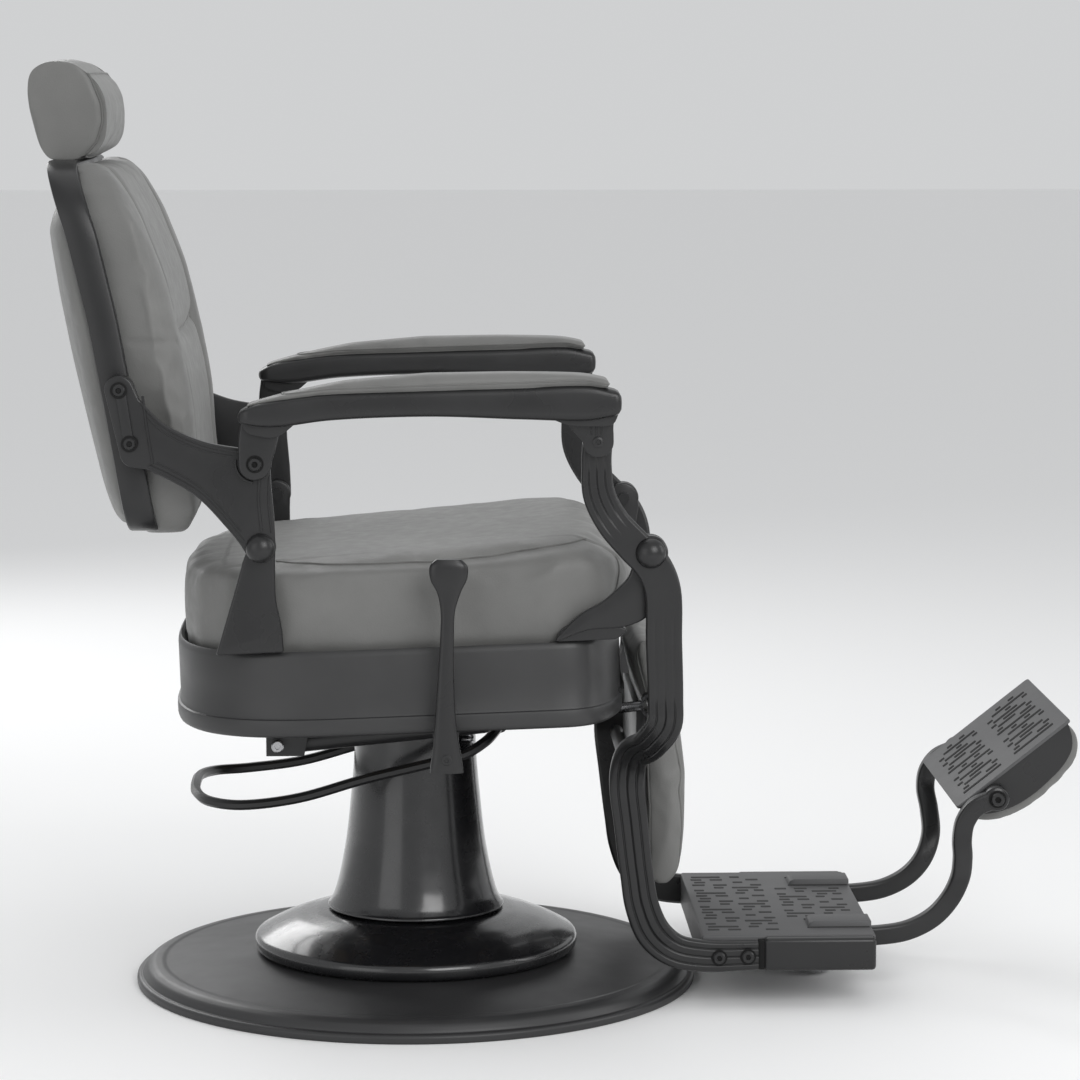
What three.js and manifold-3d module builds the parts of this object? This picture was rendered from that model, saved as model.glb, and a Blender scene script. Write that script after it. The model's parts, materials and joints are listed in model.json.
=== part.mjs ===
// Hydraulic barber chair: pedestal, lifting ram, swivelling seat, reclining back with linked arms and footrest.
// Millimetres. Pieces are laid out with x forward, y to the sitter's left and z up; the origin is on the
// floor under the middle of the base. The whole chair is then turned to face -Y.
import * as THREE from "three";
import { mergeVertices } from "three/addons/utils/BufferGeometryUtils.js";
import Module from "manifold-3d";

const wasm = await Module();
wasm.setup();

// ---------------------------------------------------------------- driving dimensions
const GAP = 0.4; // between pieces that touch
const BASE_RADIUS = 330;
const DOME_RADIUS = 191;
const BASE_TOP = 35; // height of the base plate under the dome
const COLUMN_TOP = 318;
const RAM_RADIUS = 28.2;

const SHELL_TOP = 433; // top of the seat shell's wall at x = 0
const SHELL_BOTTOM = 337;
const SHELL_WALL = 7;
const SHELL_HALF_WIDTH = 266;
const SHELL_REAR = { from: -60, reach: 215 };
const SHELL_FRONT = { from: 150, reach: 86 };
const SEAT_TILT = THREE.MathUtils.degToRad(2);
const SEAT_PLATE_BOTTOM = 352;

// Pivots of the linkage, as (forward, up).
const BACK_PIVOT = [-169.5, 547];
const ARM_REAR_PIVOT = [-174, 641];
const ARM_FRONT_PIVOT = [201, 664];
const LEG_PIVOT = [260, 540];
const CYLINDER_PIVOT = [-156, 308];
const ROD_STUD = [272, 350]; // on the right leg
const CYLINDER_SIDE = 156; // how far right of the middle the recline cylinder lies
const CROSS_TUBE = [247, 262];
const PEDAL_PIVOT = [98, 308];
const LEVER_PIVOT = [34, 312];

// Layers of the side linkage, outward from the seat.
const INNER_LAYER = [258, 268]; // uprights and front brackets
const MIDDLE_LAYER = [270, 280]; // back brackets and legs
const LEG_OUTER = 283;
const ARM_LAYER = [284.5, 294.5]; // arm legs and lugs

const LEG_STEP_IN = 97.5; // the legs step in to the footplate's width

const PLATE = {
  rear: 327, front: 527, halfWidth: 172, wideHalfWidth: 185.5, wideFrom: 398, bottom: 44, top: 84,
};
const STRAP = { centre: 114, halfThickness: 9, halfDepth: 11, stepOut: 44.5 };
const TOE = { edge: [623, 228], tilt: THREE.MathUtils.degToRad(38.4), length: 160, halfWidth: 148, flange: 7 };
const TOE_BOLT = [40.5, -17.4]; // along and across the toe pad's face

const BACK_HALF_WIDTH = 255;
const BACK_BOTTOM = 564;
const BACK_TOP = 968;
const HEADREST_SLOPE = Math.atan2(0.27, 0.963);

const SIDES = [
  { side: "right", sign: -1 },
  { side: "left", sign: 1 },
];

// ---------------------------------------------------------------- materials
function finish(color, roughness, metalness) {
  return new THREE.MeshStandardMaterial({ color, roughness, metalness });
}

const satinBlack = () => finish(0x3c3c3c, 0.45, 0.6);
const glossBlack = () => finish(0x1c1c1d, 0.12, 0.7);
const padGrey = () => finish(0x7a7a77, 0.6, 0);
const treadGrey = () => finish(0x555557, 0.5, 0.5);
const brightSteel = () => finish(0xb8babc, 0.3, 1);
const rubberBlack = () => finish(0x202020, 0.9, 0);
const plywood = () => finish(0xb08a5a, 0.8, 0);

// ---------------------------------------------------------------- solids
function solid(geometry) {
  const bare = geometry.clone();
  bare.deleteAttribute("normal");
  bare.deleteAttribute("uv");
  const merged = mergeVertices(bare, 1e-4);
  const vertProperties = new Float32Array(merged.attributes.position.array);
  const triVerts = new Uint32Array(merged.index.array);
  return new wasm.Manifold(new wasm.Mesh({ numProp: 3, vertProperties, triVerts }));
}

function geometryOf(body) {
  const mesh = body.getMesh();
  const geometry = new THREE.BufferGeometry();
  geometry.setAttribute("position", new THREE.BufferAttribute(new Float32Array(mesh.vertProperties), 3));
  geometry.setIndex(new THREE.BufferAttribute(new Uint32Array(mesh.triVerts), 1));
  return geometry;
}

const join = (first, ...rest) => rest.reduce((whole, piece) => whole.add(piece), first);
const cut = (first, ...rest) => rest.reduce((whole, piece) => whole.subtract(piece), first);

function add(group, name, material, body) {
  const mesh = new THREE.Mesh(geometryOf(body), material);
  mesh.name = name;
  group.add(mesh);
  return mesh;
}

function extrude(points, depth, holes = []) {
  const shape = new THREE.Shape(points.map(([a, b]) => new THREE.Vector2(a, b)));
  for (const [a, b, radius] of holes) {
    const hole = new THREE.Path();
    hole.absarc(a, b, radius, 0, 2 * Math.PI, true);
    shape.holes.push(hole);
  }
  return new THREE.ExtrudeGeometry(shape, { depth, bevelEnabled: false, curveSegments: 5 });
}

// An outline in the (forward, up) plane, standing between two lateral positions.
function sideSolid(points, y0, y1, holes) {
  const geometry = extrude(points, Math.abs(y1 - y0), holes);
  geometry.rotateX(Math.PI / 2);
  geometry.translate(0, Math.max(y0, y1), 0);
  return solid(geometry);
}

// An outline seen from above, standing between two heights.
function planSolid(points, z0, z1) {
  const geometry = extrude(points, z1 - z0);
  geometry.translate(0, 0, z0);
  return solid(geometry);
}

// An outline in the (lateral, up) plane, standing between two forward positions.
function frontSolid(points, x0, x1) {
  const geometry = extrude(points, x1 - x0);
  geometry.applyMatrix4(new THREE.Matrix4().set(0, 0, 1, x0, 1, 0, 0, 0, 0, 1, 0, 0, 0, 0, 0, 1));
  return solid(geometry);
}

function box(x0, x1, y0, y1, z0, z1) {
  const geometry = new THREE.BoxGeometry(x1 - x0, Math.abs(y1 - y0), z1 - z0);
  geometry.translate((x0 + x1) / 2, (y0 + y1) / 2, (z0 + z1) / 2);
  return solid(geometry);
}

function rod(from, to, radius, segments = 16) {
  const a = new THREE.Vector3(...from);
  const b = new THREE.Vector3(...to);
  const geometry = new THREE.CylinderGeometry(radius, radius, a.distanceTo(b), segments);
  geometry.applyQuaternion(
    new THREE.Quaternion().setFromUnitVectors(new THREE.Vector3(0, 1, 0), b.clone().sub(a).normalize()),
  );
  geometry.translate(...a.clone().add(b).multiplyScalar(0.5).toArray());
  return solid(geometry);
}

const sideRod = ([x, z], y0, y1, radius, segments) => rod([x, y0, z], [x, y1, z], radius, segments);

// A (radius, height) profile, in counterclockwise order, turned about the column's axis.
function turned(profile, segments) {
  const points = [...profile].map(([r, z]) => new THREE.Vector2(r, z));
  if (profile[0][0] !== 0) points.push(points[0].clone());
  const geometry = new THREE.LatheGeometry(points, segments);
  geometry.rotateX(Math.PI / 2);
  return solid(geometry);
}

function smooth(points, count) {
  const curve = new THREE.SplineCurve(points.map(([a, b]) => new THREE.Vector2(a, b)));
  return curve.getPoints(count).map((p) => [p.x, p.y]);
}

function arc([a, b], radius, fromDegrees, toDegrees, count) {
  return Array.from({ length: count + 1 }, (_, i) => {
    const angle = THREE.MathUtils.degToRad(fromDegrees + ((toDegrees - fromDegrees) * i) / count);
    return [a + radius * Math.cos(angle), b + radius * Math.sin(angle)];
  });
}

// A flat bar that follows a smooth line of (forward, up, half depth, lateral) stations. Its depth is
// measured across the line in the side view, and its thickness is lateral.
function bar(stations, thickness, sign, segments) {
  const points = stations.map(([x, z]) => new THREE.Vector3(x, 0, z));
  const line = new THREE.CatmullRomCurve3(points, false, "centripetal");
  const valueAt = (u, column) => {
    const place = u * (stations.length - 1);
    const i = Math.min(stations.length - 2, Math.floor(place));
    return THREE.MathUtils.lerp(stations[i][column], stations[i + 1][column], place - i);
  };
  const block = new THREE.BoxGeometry(1, thickness, 1, 1, 1, segments);
  return solid(block).warp((point) => {
    const u = THREE.MathUtils.clamp(point[2] + 0.5, 0, 1);
    const centre = line.getPoint(u);
    const along = line.getTangent(u);
    const across = point[0] * 2 * valueAt(u, 2);
    point[0] = centre.x + along.z * across;
    point[2] = centre.z - along.x * across;
    point[1] += sign * valueAt(u, 3);
  });
}

const mirrored = (list, sign) => list.map((y) => y * sign);
const eased = (value, from, to) => THREE.MathUtils.smoothstep(value, from, to);

// ---------------------------------------------------------------- pedestal
function addPedestal(group) {
  const basePlate = turned(
    [
      [0, 0], [70, 0], [70, 28], [180, 29], [290, 19], [299, 0], [305.6, 0], [305.6, 4.4], [318.4, 4.4],
      [318.4, 0], [BASE_RADIUS, 0], [BASE_RADIUS, 8], [323, 12], [318, 19], [304, 24], [182, BASE_TOP],
      [0, BASE_TOP],
    ],
    36,
  );
  add(group, "base_plate", satinBlack(), basePlate);
  add(group, "base_gasket", rubberBlack(), turned([[306, 0], [318, 0], [318, 4], [306, 4]], 36));

  const dome = turned(
    [
      [178, BASE_TOP + GAP], [184, BASE_TOP + GAP], [190, 40], [DOME_RADIUS, 47], [187, 54], [171, 63.5],
      [140, 75.5], [92, 86], [92, 80], [138, 69], [166, 57],
    ],
    32,
  );
  add(group, "pump_flange", glossBlack(), dome);

  const bell = turned(
    [
      [92, 86.4], [104, 86.4], [95, 95], [87, 109], [81, 133], [77, 171], [71, 265], [69, COLUMN_TOP],
      [65, COLUMN_TOP], [73, 171], [77, 130],
    ],
    28,
  );
  add(group, "column_cover", glossBlack(), bell);

  const boreRadius = RAM_RADIUS + 0.9;
  const cylinder = turned(
    [
      [0, BASE_TOP + GAP], [62, BASE_TOP + GAP], [62, 50], [46, 54], [46, 312], [boreRadius, 312],
      [boreRadius, 48], [0, 48],
    ],
    20,
  );
  add(group, "lift_cylinder", satinBlack(), cylinder);
}

// The ram's head carries a thrust washer and a spigot that the seat turns on.
const RAM_HEAD_TOP = 324;
const SPIGOT_RADIUS = 22;

function addRam(group) {
  const ram = turned(
    [
      [0, 54], [RAM_RADIUS, 54], [RAM_RADIUS, COLUMN_TOP + 1], [50, COLUMN_TOP + 1], [50, RAM_HEAD_TOP],
      [SPIGOT_RADIUS, RAM_HEAD_TOP], [SPIGOT_RADIUS, 348], [0, 348],
    ],
    20,
  );
  add(group, "lift_ram", brightSteel(), ram);
  const [low, high] = [RAM_HEAD_TOP + GAP, RAM_HEAD_TOP + 6];
  const washer = turned([[SPIGOT_RADIUS + 1, low], [47, low], [47, high], [SPIGOT_RADIUS + 1, high]], 20);
  add(group, "swivel_bearing", brightSteel(), washer);
}

// ---------------------------------------------------------------- seat
// Half of the seat's width at a forward position: straight sides that round off at both ends.
function shellHalfWidth(x, inset = 0) {
  const end = x < 0 ? SHELL_REAR : SHELL_FRONT;
  const beyond = Math.max(0, x < 0 ? end.from - x : x - end.from) / (end.reach - inset);
  return (SHELL_HALF_WIDTH - inset) * Math.cbrt(Math.max(0, 1 - beyond ** 3));
}

// The seat's outline from above, moved inwards by inset.
function shellOutline(inset, stepsPerCorner = 7) {
  const corner = ({ from, reach }, direction) =>
    Array.from({ length: stepsPerCorner + 1 }, (_, i) => {
      const angle = (Math.PI / 2) * (i / stepsPerCorner);
      const along = (reach - inset) * Math.cos(angle) ** (2 / 3);
      const across = (SHELL_HALF_WIDTH - inset) * Math.sin(angle) ** (2 / 3);
      return [from + direction * along, across];
    });
  const front = corner(SHELL_FRONT, 1);
  const rear = corner(SHELL_REAR, -1).reverse();
  const left = [...front, ...rear];
  const right = left.slice(1, -1).reverse().map(([x, y]) => [x, -y]);
  return [...left, ...right];
}

const wallTopAt = (x) => SHELL_TOP + x * Math.tan(SEAT_TILT) + GAP;

function addSeatFrame(group) {
  const [bore, low, high] = [SPIGOT_RADIUS + 0.9, RAM_HEAD_TOP + 6 + GAP, SEAT_PLATE_BOTTOM - GAP];
  const hub = turned([[bore, low], [62, low], [62, 342], [80, 346], [80, high], [bore, high]], 20);
  add(group, "swivel_hub", satinBlack(), hub);

  const plate = box(-130, 130, -126, 126, SEAT_PLATE_BOTTOM, 358);
  const rails = SIDES.map(({ sign }) => {
    const [outer, inner, slope] = [126, 98, Math.tan(SEAT_TILT)];
    const [x0, x1] = [-205, 195];
    const top = SHELL_TOP - 1;
    const web = [[x0, 356], [x1, 356], [x1, top + x1 * slope], [x0, top + x0 * slope]];
    return join(
      sideSolid(web, ...mirrored([outer - 6, outer], sign)),
      box(x0, x1, ...mirrored([inner, outer], sign), 352, 358),
    );
  });
  const cavity = planSolid(shellOutline(SHELL_WALL + 1.6), 380, 450);
  const crossBars = [[-190, -166, 425], [150, 174, 437]].map(([x0, x1, top]) =>
    cavity.intersect(box(x0, x1, -SHELL_HALF_WIDTH, SHELL_HALF_WIDTH, top - 22, top)),
  );
  add(group, "seat_frame", satinBlack(), join(plate, ...rails, ...crossBars));
}

function addSeat(group) {
  const tilted = new THREE.Group();
  tilted.position.z = SHELL_TOP;
  tilted.rotation.y = -SEAT_TILT;
  group.add(tilted);

  const bottom = SHELL_BOTTOM - SHELL_TOP;
  const wall = planSolid(shellOutline(0), bottom + 22, 0);
  const lowerBand = planSolid(shellOutline(-4), bottom, bottom + 24);
  const inside = planSolid(shellOutline(SHELL_WALL), bottom - 1, 1);
  const rodNotch = box(200, 245, -CYLINDER_SIDE - 12, -CYLINDER_SIDE + 12, bottom - 1, bottom + 30);
  add(tilted, "seat_shell", satinBlack(), cut(join(wall, lowerBand), inside, rodNotch));
  add(tilted, "seat_board", plywood(), planSolid(shellOutline(17, 4), GAP, 8));

  add(tilted, "seat_cushion", padGrey(), seatCushion());
}

// A wedge with rounded edges, thicker at the front, whose nose overhangs the shell.
function seatCushion() {
  const [bevel, foot, height] = [20, 8 + GAP, 100];
  const shape = new THREE.Shape(shellOutline(14 + bevel, 5).map(([x, y]) => new THREE.Vector2(x, y)));
  const options = { depth: height - 2 * bevel, bevelThickness: bevel, bevelSize: bevel, bevelSegments: 3 };
  const geometry = new THREE.ExtrudeGeometry(shape, options);
  geometry.translate(0, 0, bevel);
  const topAt = (x) => THREE.MathUtils.mapLinear(x, -260, 240, 80, 116);
  return solid(geometry).warp((point) => {
    const share = point[2] / height;
    const nose = eased(point[0], 120, 236) * Math.sin(Math.PI * Math.min(1, share * 1.1));
    point[2] = foot + share * topAt(point[0]);
    point[0] += 46 * nose;
  });
}

function addSideFrames(group) {
  for (const { side, sign } of SIDES) {
    add(group, `rear_upright_${side}`, satinBlack(), rearUpright(sign));
    add(group, `front_bracket_${side}`, satinBlack(), frontBracket(sign));
    add(group, `rear_pivot_bolt_${side}`, satinBlack(), pivotBolt(BACK_PIVOT, sign, MIDDLE_LAYER[1], 16));
    add(group, `front_pivot_bolt_${side}`, satinBlack(), pivotBolt(LEG_PIVOT, sign, LEG_OUTER, 18));
  }
}

// A block that fills in from the side plate to the shell's wall.
function footBlock(sign, x0, x1) {
  const height = 10;
  const inner = Array.from({ length: 5 }, (_, i) => {
    const x = x1 + ((x0 - x1) * i) / 4;
    return [x, sign * (shellHalfWidth(x) - 12)];
  });
  const points = [[x0, sign * INNER_LAYER[1]], [x1, sign * INNER_LAYER[1]], ...inner];
  const plan = planSolid(sign > 0 ? [...points].reverse() : points, SHELL_TOP - 20, SHELL_TOP + 40);
  const [z0, z1] = [wallTopAt(x0), wallTopAt(x1)];
  const rim = [[x0, z0], [x1, z1], [x1 - 4, z1 + height], [x0 + 4, z0 + height]];
  return plan.intersect(sideSolid(rim, sign * 200, sign * 280));
}

function rearUpright(sign) {
  const outline = [
    [-221, wallTopAt(-221)], [-144, wallTopAt(-144)], [-146, 446], [-155, 487], [-156, 529],
    ...arc(BACK_PIVOT, 17, -25, 205, 10), [-189, 529], [-201, 487], [-214, 450],
  ];
  const hole = [...BACK_PIVOT, 7.4];
  return join(
    sideSolid(outline, ...mirrored(INNER_LAYER, sign), [hole]),
    footBlock(sign, -221, -144),
  );
}

function frontBracket(sign) {
  const outline = [
    [153, wallTopAt(153)], [228, wallTopAt(228)], [246, 455], [261, 475], [270, 500], [278, 530],
    ...arc(LEG_PIVOT, 19, -20, 200, 8), [246, 512], [233, 488], [216, 472], [194, 460], [170, 452],
  ];
  const hole = [...LEG_PIVOT, 7.4];
  return join(
    sideSolid(outline, ...mirrored(INNER_LAYER, sign), [hole]),
    footBlock(sign, 153, 226),
  );
}

// A pin with a domed cap outside and a nut inside.
function pivotBolt(centre, sign, capFrom, capRadius) {
  const shank = sideRod(centre, ...mirrored([250, capFrom + 2], sign), 7, 12);
  const nut = sideRod(centre, ...mirrored([250, INNER_LAYER[0] - GAP], sign), 10, 6);
  const cap = new THREE.SphereGeometry(capRadius, 14, 8);
  cap.scale(1, 0.85, 1);
  cap.translate(centre[0], sign * (capFrom + GAP), centre[1]);
  const [x, z] = centre;
  const outside = box(x - 30, x + 30, ...mirrored([capFrom + GAP, capFrom + 40], sign), z - 30, z + 30);
  return join(shank, nut, solid(cap).intersect(outside));
}

// ---------------------------------------------------------------- under the seat
function addUnderSeat(group) {
  const [px, pz] = CYLINDER_PIVOT;
  const ear = [[px - 13, pz - 12], [px + 30, pz - 12], [px + 44, 368], [px - 13, 368]];
  const [near, far] = [CYLINDER_SIDE - 19.5, CYLINDER_SIDE + 19.5];
  const ears = [[near, near + 6], [far - 6, far]].map((span) => sideSolid(ear, ...mirrored(span, -1)));
  const bridge = box(px - 13, px + 44, -far, -126 - GAP, 362, 368);
  const pin = sideRod(CYLINDER_PIVOT, -far - 4.5, -near + 3.5, 6);
  add(group, "cylinder_bracket", satinBlack(), join(bridge, ...ears, pin));

  const [qx, qz] = PEDAL_PIVOT;
  const crownTop = SEAT_PLATE_BOTTOM - GAP;
  const lug = [...arc(PEDAL_PIVOT, 12, 180, 360, 6), [qx + 12, crownTop], [qx - 12, crownTop]];
  const lugs = SIDES.map(({ sign }) => sideSolid(lug, ...mirrored([28, 34], sign), [[qx, qz, 6.8]]));
  const crown = box(qx - 12, qx + 12, -34, 34, crownTop - 6.6, crownTop);
  add(group, "pedal_bracket", satinBlack(), join(crown, ...lugs));

  const [lx, lz] = LEVER_PIVOT;
  const cheek = [...arc(LEVER_PIVOT, 14, 180, 360, 6), [lx + 16, 362], [lx - 16, 362]];
  const bore = [lx, lz, 8.8];
  const cheeks = [[184, 190], [230, 236]].map((span) => sideSolid(cheek, ...mirrored(span, -1), [bore]));
  const shelf = box(lx - 16, lx + 16, -236, -126 - GAP, 356, 362);
  add(group, "lever_bracket", satinBlack(), join(shelf, ...cheeks));

  add(group, "pedal_spring", brightSteel(), pedalSpring());
}

// The pull-back spring's outer shape, from the pedal up to the seat frame's rail.
function pedalSpring() {
  return rod([60, -108, 298], [60, -108, SEAT_PLATE_BOTTOM - GAP], 7.5, 12);
}

function addPedal(group) {
  const [px, pz] = PEDAL_PIVOT;
  const half = [
    [px, 29, pz], [px, 46, pz], [px - 5, 70, pz - 3], [80, 98, 297], [58, 112, 286], [20, 119, 277],
    [-57, 120, 259], [-136, 120, 237], [-196, 117, 230], [-230, 97, 231], [-246, 55, 234],
  ];
  const route = [...half.map(([x, y, z]) => [x, -y, z]), [-249, 0, 236], ...half.reverse()];
  const path = new THREE.CatmullRomCurve3(route.map((p) => new THREE.Vector3(...p)), false, "centripetal");
  const section = new THREE.Shape();
  section.absarc(0, 0, 6, 0, 2 * Math.PI, false);
  const options = { steps: 34, curveSegments: 4, extrudePath: path, bevelEnabled: false };
  add(group, "pump_pedal", satinBlack(), solid(new THREE.ExtrudeGeometry(section, options)));
}

function addLever(group) {
  const [lx, lz] = LEVER_PIVOT;
  const boss = (forward) => [[lx + forward * 16, lz + 10], [lx + forward * 19, lz - 12]];
  const front = smooth([...boss(1).reverse(), [45, 380], [44, 450], [47, 495], [57, 520]], 10);
  const rear = smooth([[17, 520], [26, 495], [25, 450], [22, 380], ...boss(-1)], 10);
  const grip = arc([37, 518], 20, 20, 160, 6);
  const handle = sideSolid([...front, ...grip, ...rear], -304, -291);
  add(group, "recline_lever", satinBlack(), join(handle, sideRod(LEVER_PIVOT, -296, -178, 8)));
}

// The recline cylinder lies along a line from its rear pin to the stud on the right leg.
function cylinderAxis() {
  const run = [ROD_STUD[0] - CYLINDER_PIVOT[0], ROD_STUD[1] - CYLINDER_PIVOT[1]];
  const length = Math.hypot(...run);
  const at = (s) => [
    CYLINDER_PIVOT[0] + (run[0] * s) / length,
    -CYLINDER_SIDE,
    CYLINDER_PIVOT[1] + (run[1] * s) / length,
  ];
  return { length, at };
}

// A rod across the cylinder's plane, from so far inside it to so far outside.
const acrossCylinder = (centre, inside, outside, radius, segments = 12) =>
  sideRod(centre, -CYLINDER_SIDE - outside, -CYLINDER_SIDE + inside, radius, segments);

function addCylinderBody(group) {
  const { at } = cylinderAxis();
  const barrel = cut(rod(at(10), at(245), 13, 16), rod(at(50), at(250), 6.8, 12));
  const bore = acrossCylinder(CYLINDER_PIVOT, 17, 17, 6.8);
  const eye = acrossCylinder(CYLINDER_PIVOT, 13, 13, 12);
  add(group, "recline_cylinder", satinBlack(), cut(join(barrel, eye), bore));
}

function addCylinderRod(group) {
  const { length, at } = cylinderAxis();
  const ring = acrossCylinder(ROD_STUD, 6, 9, 16, 20);
  const eye = cut(ring, acrossCylinder(ROD_STUD, 8, 11, 12.5, 20));
  add(group, "recline_rod", brightSteel(), join(rod(at(60), at(length - 13.5), 6, 12), eye));
}

// ---------------------------------------------------------------- back
const BAND_REAR = [[-406, BACK_TOP], [-386, 888], [-362, 798], [-339, 680], [-318, BACK_BOTTOM]];
const BAND_FRONT = [[-373, BACK_TOP], [-353, 890], [-330, 800], [-306, 680], [-285, BACK_BOTTOM]];

// The back's outline from the front, moved inwards by inset.
function backOutline(inset) {
  const [w, low, high] = [BACK_HALF_WIDTH - inset, BACK_BOTTOM + inset, BACK_TOP - inset];
  const [topRadius, lowRadius] = [90 - inset, 55 - inset / 2];
  return [
    ...arc([w - lowRadius, low + lowRadius], lowRadius, -90, 0, 4),
    ...arc([w - topRadius, high - topRadius], topRadius, 0, 90, 5),
    ...arc([topRadius - w, high - topRadius], topRadius, 90, 180, 5),
    ...arc([lowRadius - w, low + lowRadius], lowRadius, 180, 270, 4),
  ];
}

function shifted(points, dx) {
  return points.map(([x, z]) => [x + dx, z]);
}

function backLayer(rear, front, inset) {
  const profile = [...smooth(rear, 8), ...smooth([...front].reverse(), 8)];
  const slab = sideSolid(profile, -BACK_HALF_WIDTH - 5, BACK_HALF_WIDTH + 5);
  return slab.intersect(frontSolid(backOutline(inset), -460, -200));
}

const headrestAt = (s) => [-389 - s * Math.sin(HEADREST_SLOPE), BACK_TOP + s * Math.cos(HEADREST_SLOPE)];

// A straight bar on the headrest's sliding line, from s0 to s1 above the top of the back.
function headrestBar(s0, s1, halfThickness, halfWidth) {
  const [[x0, z0], [x1, z1]] = [headrestAt(s0), headrestAt(s1)];
  const [dx, dz] = [halfThickness * Math.cos(HEADREST_SLOPE), halfThickness * Math.sin(HEADREST_SLOPE)];
  const outline = [[x0 - dx, z0 - dz], [x0 + dx, z0 + dz], [x1 + dx, z1 + dz], [x1 - dx, z1 - dz]];
  return sideSolid(outline, -halfWidth, halfWidth);
}

function addBack(group) {
  const opening = frontSolid(backOutline(16), -460, -200);
  const band = cut(backLayer(BAND_REAR, BAND_FRONT, 0), opening);
  const web = backLayer(shifted(BAND_REAR, 3), shifted(BAND_REAR, 8), 12);
  const slot = headrestBar(-60, 40, 3.6, 20.6);
  add(group, "back_frame", satinBlack(), cut(join(band, web), slot));

  const sleeve = cut(headrestBar(-110, -55, 7, 30), headrestBar(-130, -40, 3.6, 20.6));
  add(group, "headrest_guide", brightSteel(), sleeve);

  add(group, "back_cushion", padGrey(), backCushion());
  add(group, "back_rear_panel", padGrey(), backRearPanel());

  for (const { side, sign } of SIDES) {
    add(group, `back_bracket_${side}`, satinBlack(), backBracket(sign));
    add(group, `back_screw_plate_${side}`, satinBlack(), backScrewPlate(sign));
    add(group, `arm_rear_bolt_${side}`, satinBlack(), armBolt(ARM_REAR_PIVOT, sign, MIDDLE_LAYER[0]));
  }
}

function backCushion() {
  const front = [
    [-352, 961], [-322, 938], [-292, 898], [-266, 838], [-247, 775], [-234, 705], [-229, 650],
    [-234, 600], [-254, 566],
  ];
  return backLayer(shifted(BAND_FRONT, 0.6), front, 10);
}

function backRearPanel() {
  const rear = [[-408, 955], [-423, 915], [-416, 830], [-399, 747], [-375, 660], [-350, 585], [-324, 566]];
  return backLayer(rear, shifted(BAND_REAR, -0.6), 10);
}

const BACK_SCREWS = [[-322, 721], [-311, 662.5]];

function backBracket(sign) {
  const tab = [...arc([-322, 721], 16, 20, 180, 5), ...arc([-306, 652], 16, 180, 250, 3)];
  const lower = smooth([[-293, 634], [-239, 604], [-206, 569], [-187, 545]], 4);
  const upper = smooth([[-191, 656], [-232, 665], [-276, 686], [-303, 714]], 5);
  const outline = [
    ...tab, ...lower.slice(1), ...arc(BACK_PIVOT, 17, 200, 350, 6), [-154, 580], [-157, 620],
    ...arc(ARM_REAR_PIVOT, 16, 0, 130, 4), ...upper,
  ];
  const holes = [[...BACK_PIVOT, 7.6], [...ARM_REAR_PIVOT, 5.4], ...BACK_SCREWS.map((c) => [...c, 4.4])];
  const boss = [...tab, [-295, 640], [-300, 715]];
  return join(
    sideSolid(outline, ...mirrored(MIDDLE_LAYER, sign), holes),
    sideSolid(boss, ...mirrored([BACK_HALF_WIDTH + GAP, 271], sign), holes.slice(2)),
  );
}

// A thin strip outside the bracket that joins its two screws.
function backScrewPlate(sign) {
  const heads = BACK_SCREWS.map((c) => sideRod(c, ...mirrored([MIDDLE_LAYER[1] + GAP, 284], sign), 8, 10));
  const studs = BACK_SCREWS.map((c) => sideRod(c, ...mirrored([BACK_HALF_WIDTH + GAP, 282], sign), 4, 8));
  const [[x1, z1], [x0, z0]] = BACK_SCREWS;
  const strip = [[x0 - 5, z0 - 8], [x0 + 6, z0 - 6], [x1 + 6, z1 + 8], [x1 - 5, z1 + 6]];
  return join(sideSolid(strip, ...mirrored([281, 283], sign)), ...heads, ...studs);
}

function armBolt(centre, sign, from) {
  const shank = sideRod(centre, ...mirrored([from - 6, ARM_LAYER[1] + 2], sign), 5, 10);
  const nut = sideRod(centre, ...mirrored([from - 6, from - GAP], sign), 8, 6);
  const head = sideRod(centre, ...mirrored([ARM_LAYER[1] + GAP, ARM_LAYER[1] + 4.5], sign), 9, 14);
  return join(shank, nut, head);
}

// ---------------------------------------------------------------- headrest
function addHeadrest(group) {
  add(group, "headrest_bar", brightSteel(), headrestBar(-150, 42, 3, 20));
  const outline = smooth(
    [
      [-376, 970], [-412, 971], [-424, 1000], [-436, 1045], [-432, 1071], [-404, 1082],
      [-366, 1075], [-340, 1050], [-333, 1015], [-342, 983], [-376, 970],
    ],
    22,
  ).slice(0, -1);
  const block = sideSolid([...outline].reverse(), -135, 135);
  add(group, "headrest_cushion", padGrey(), cut(block, headrestBar(-10, 43, 3.6, 20.6)));
}

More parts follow.
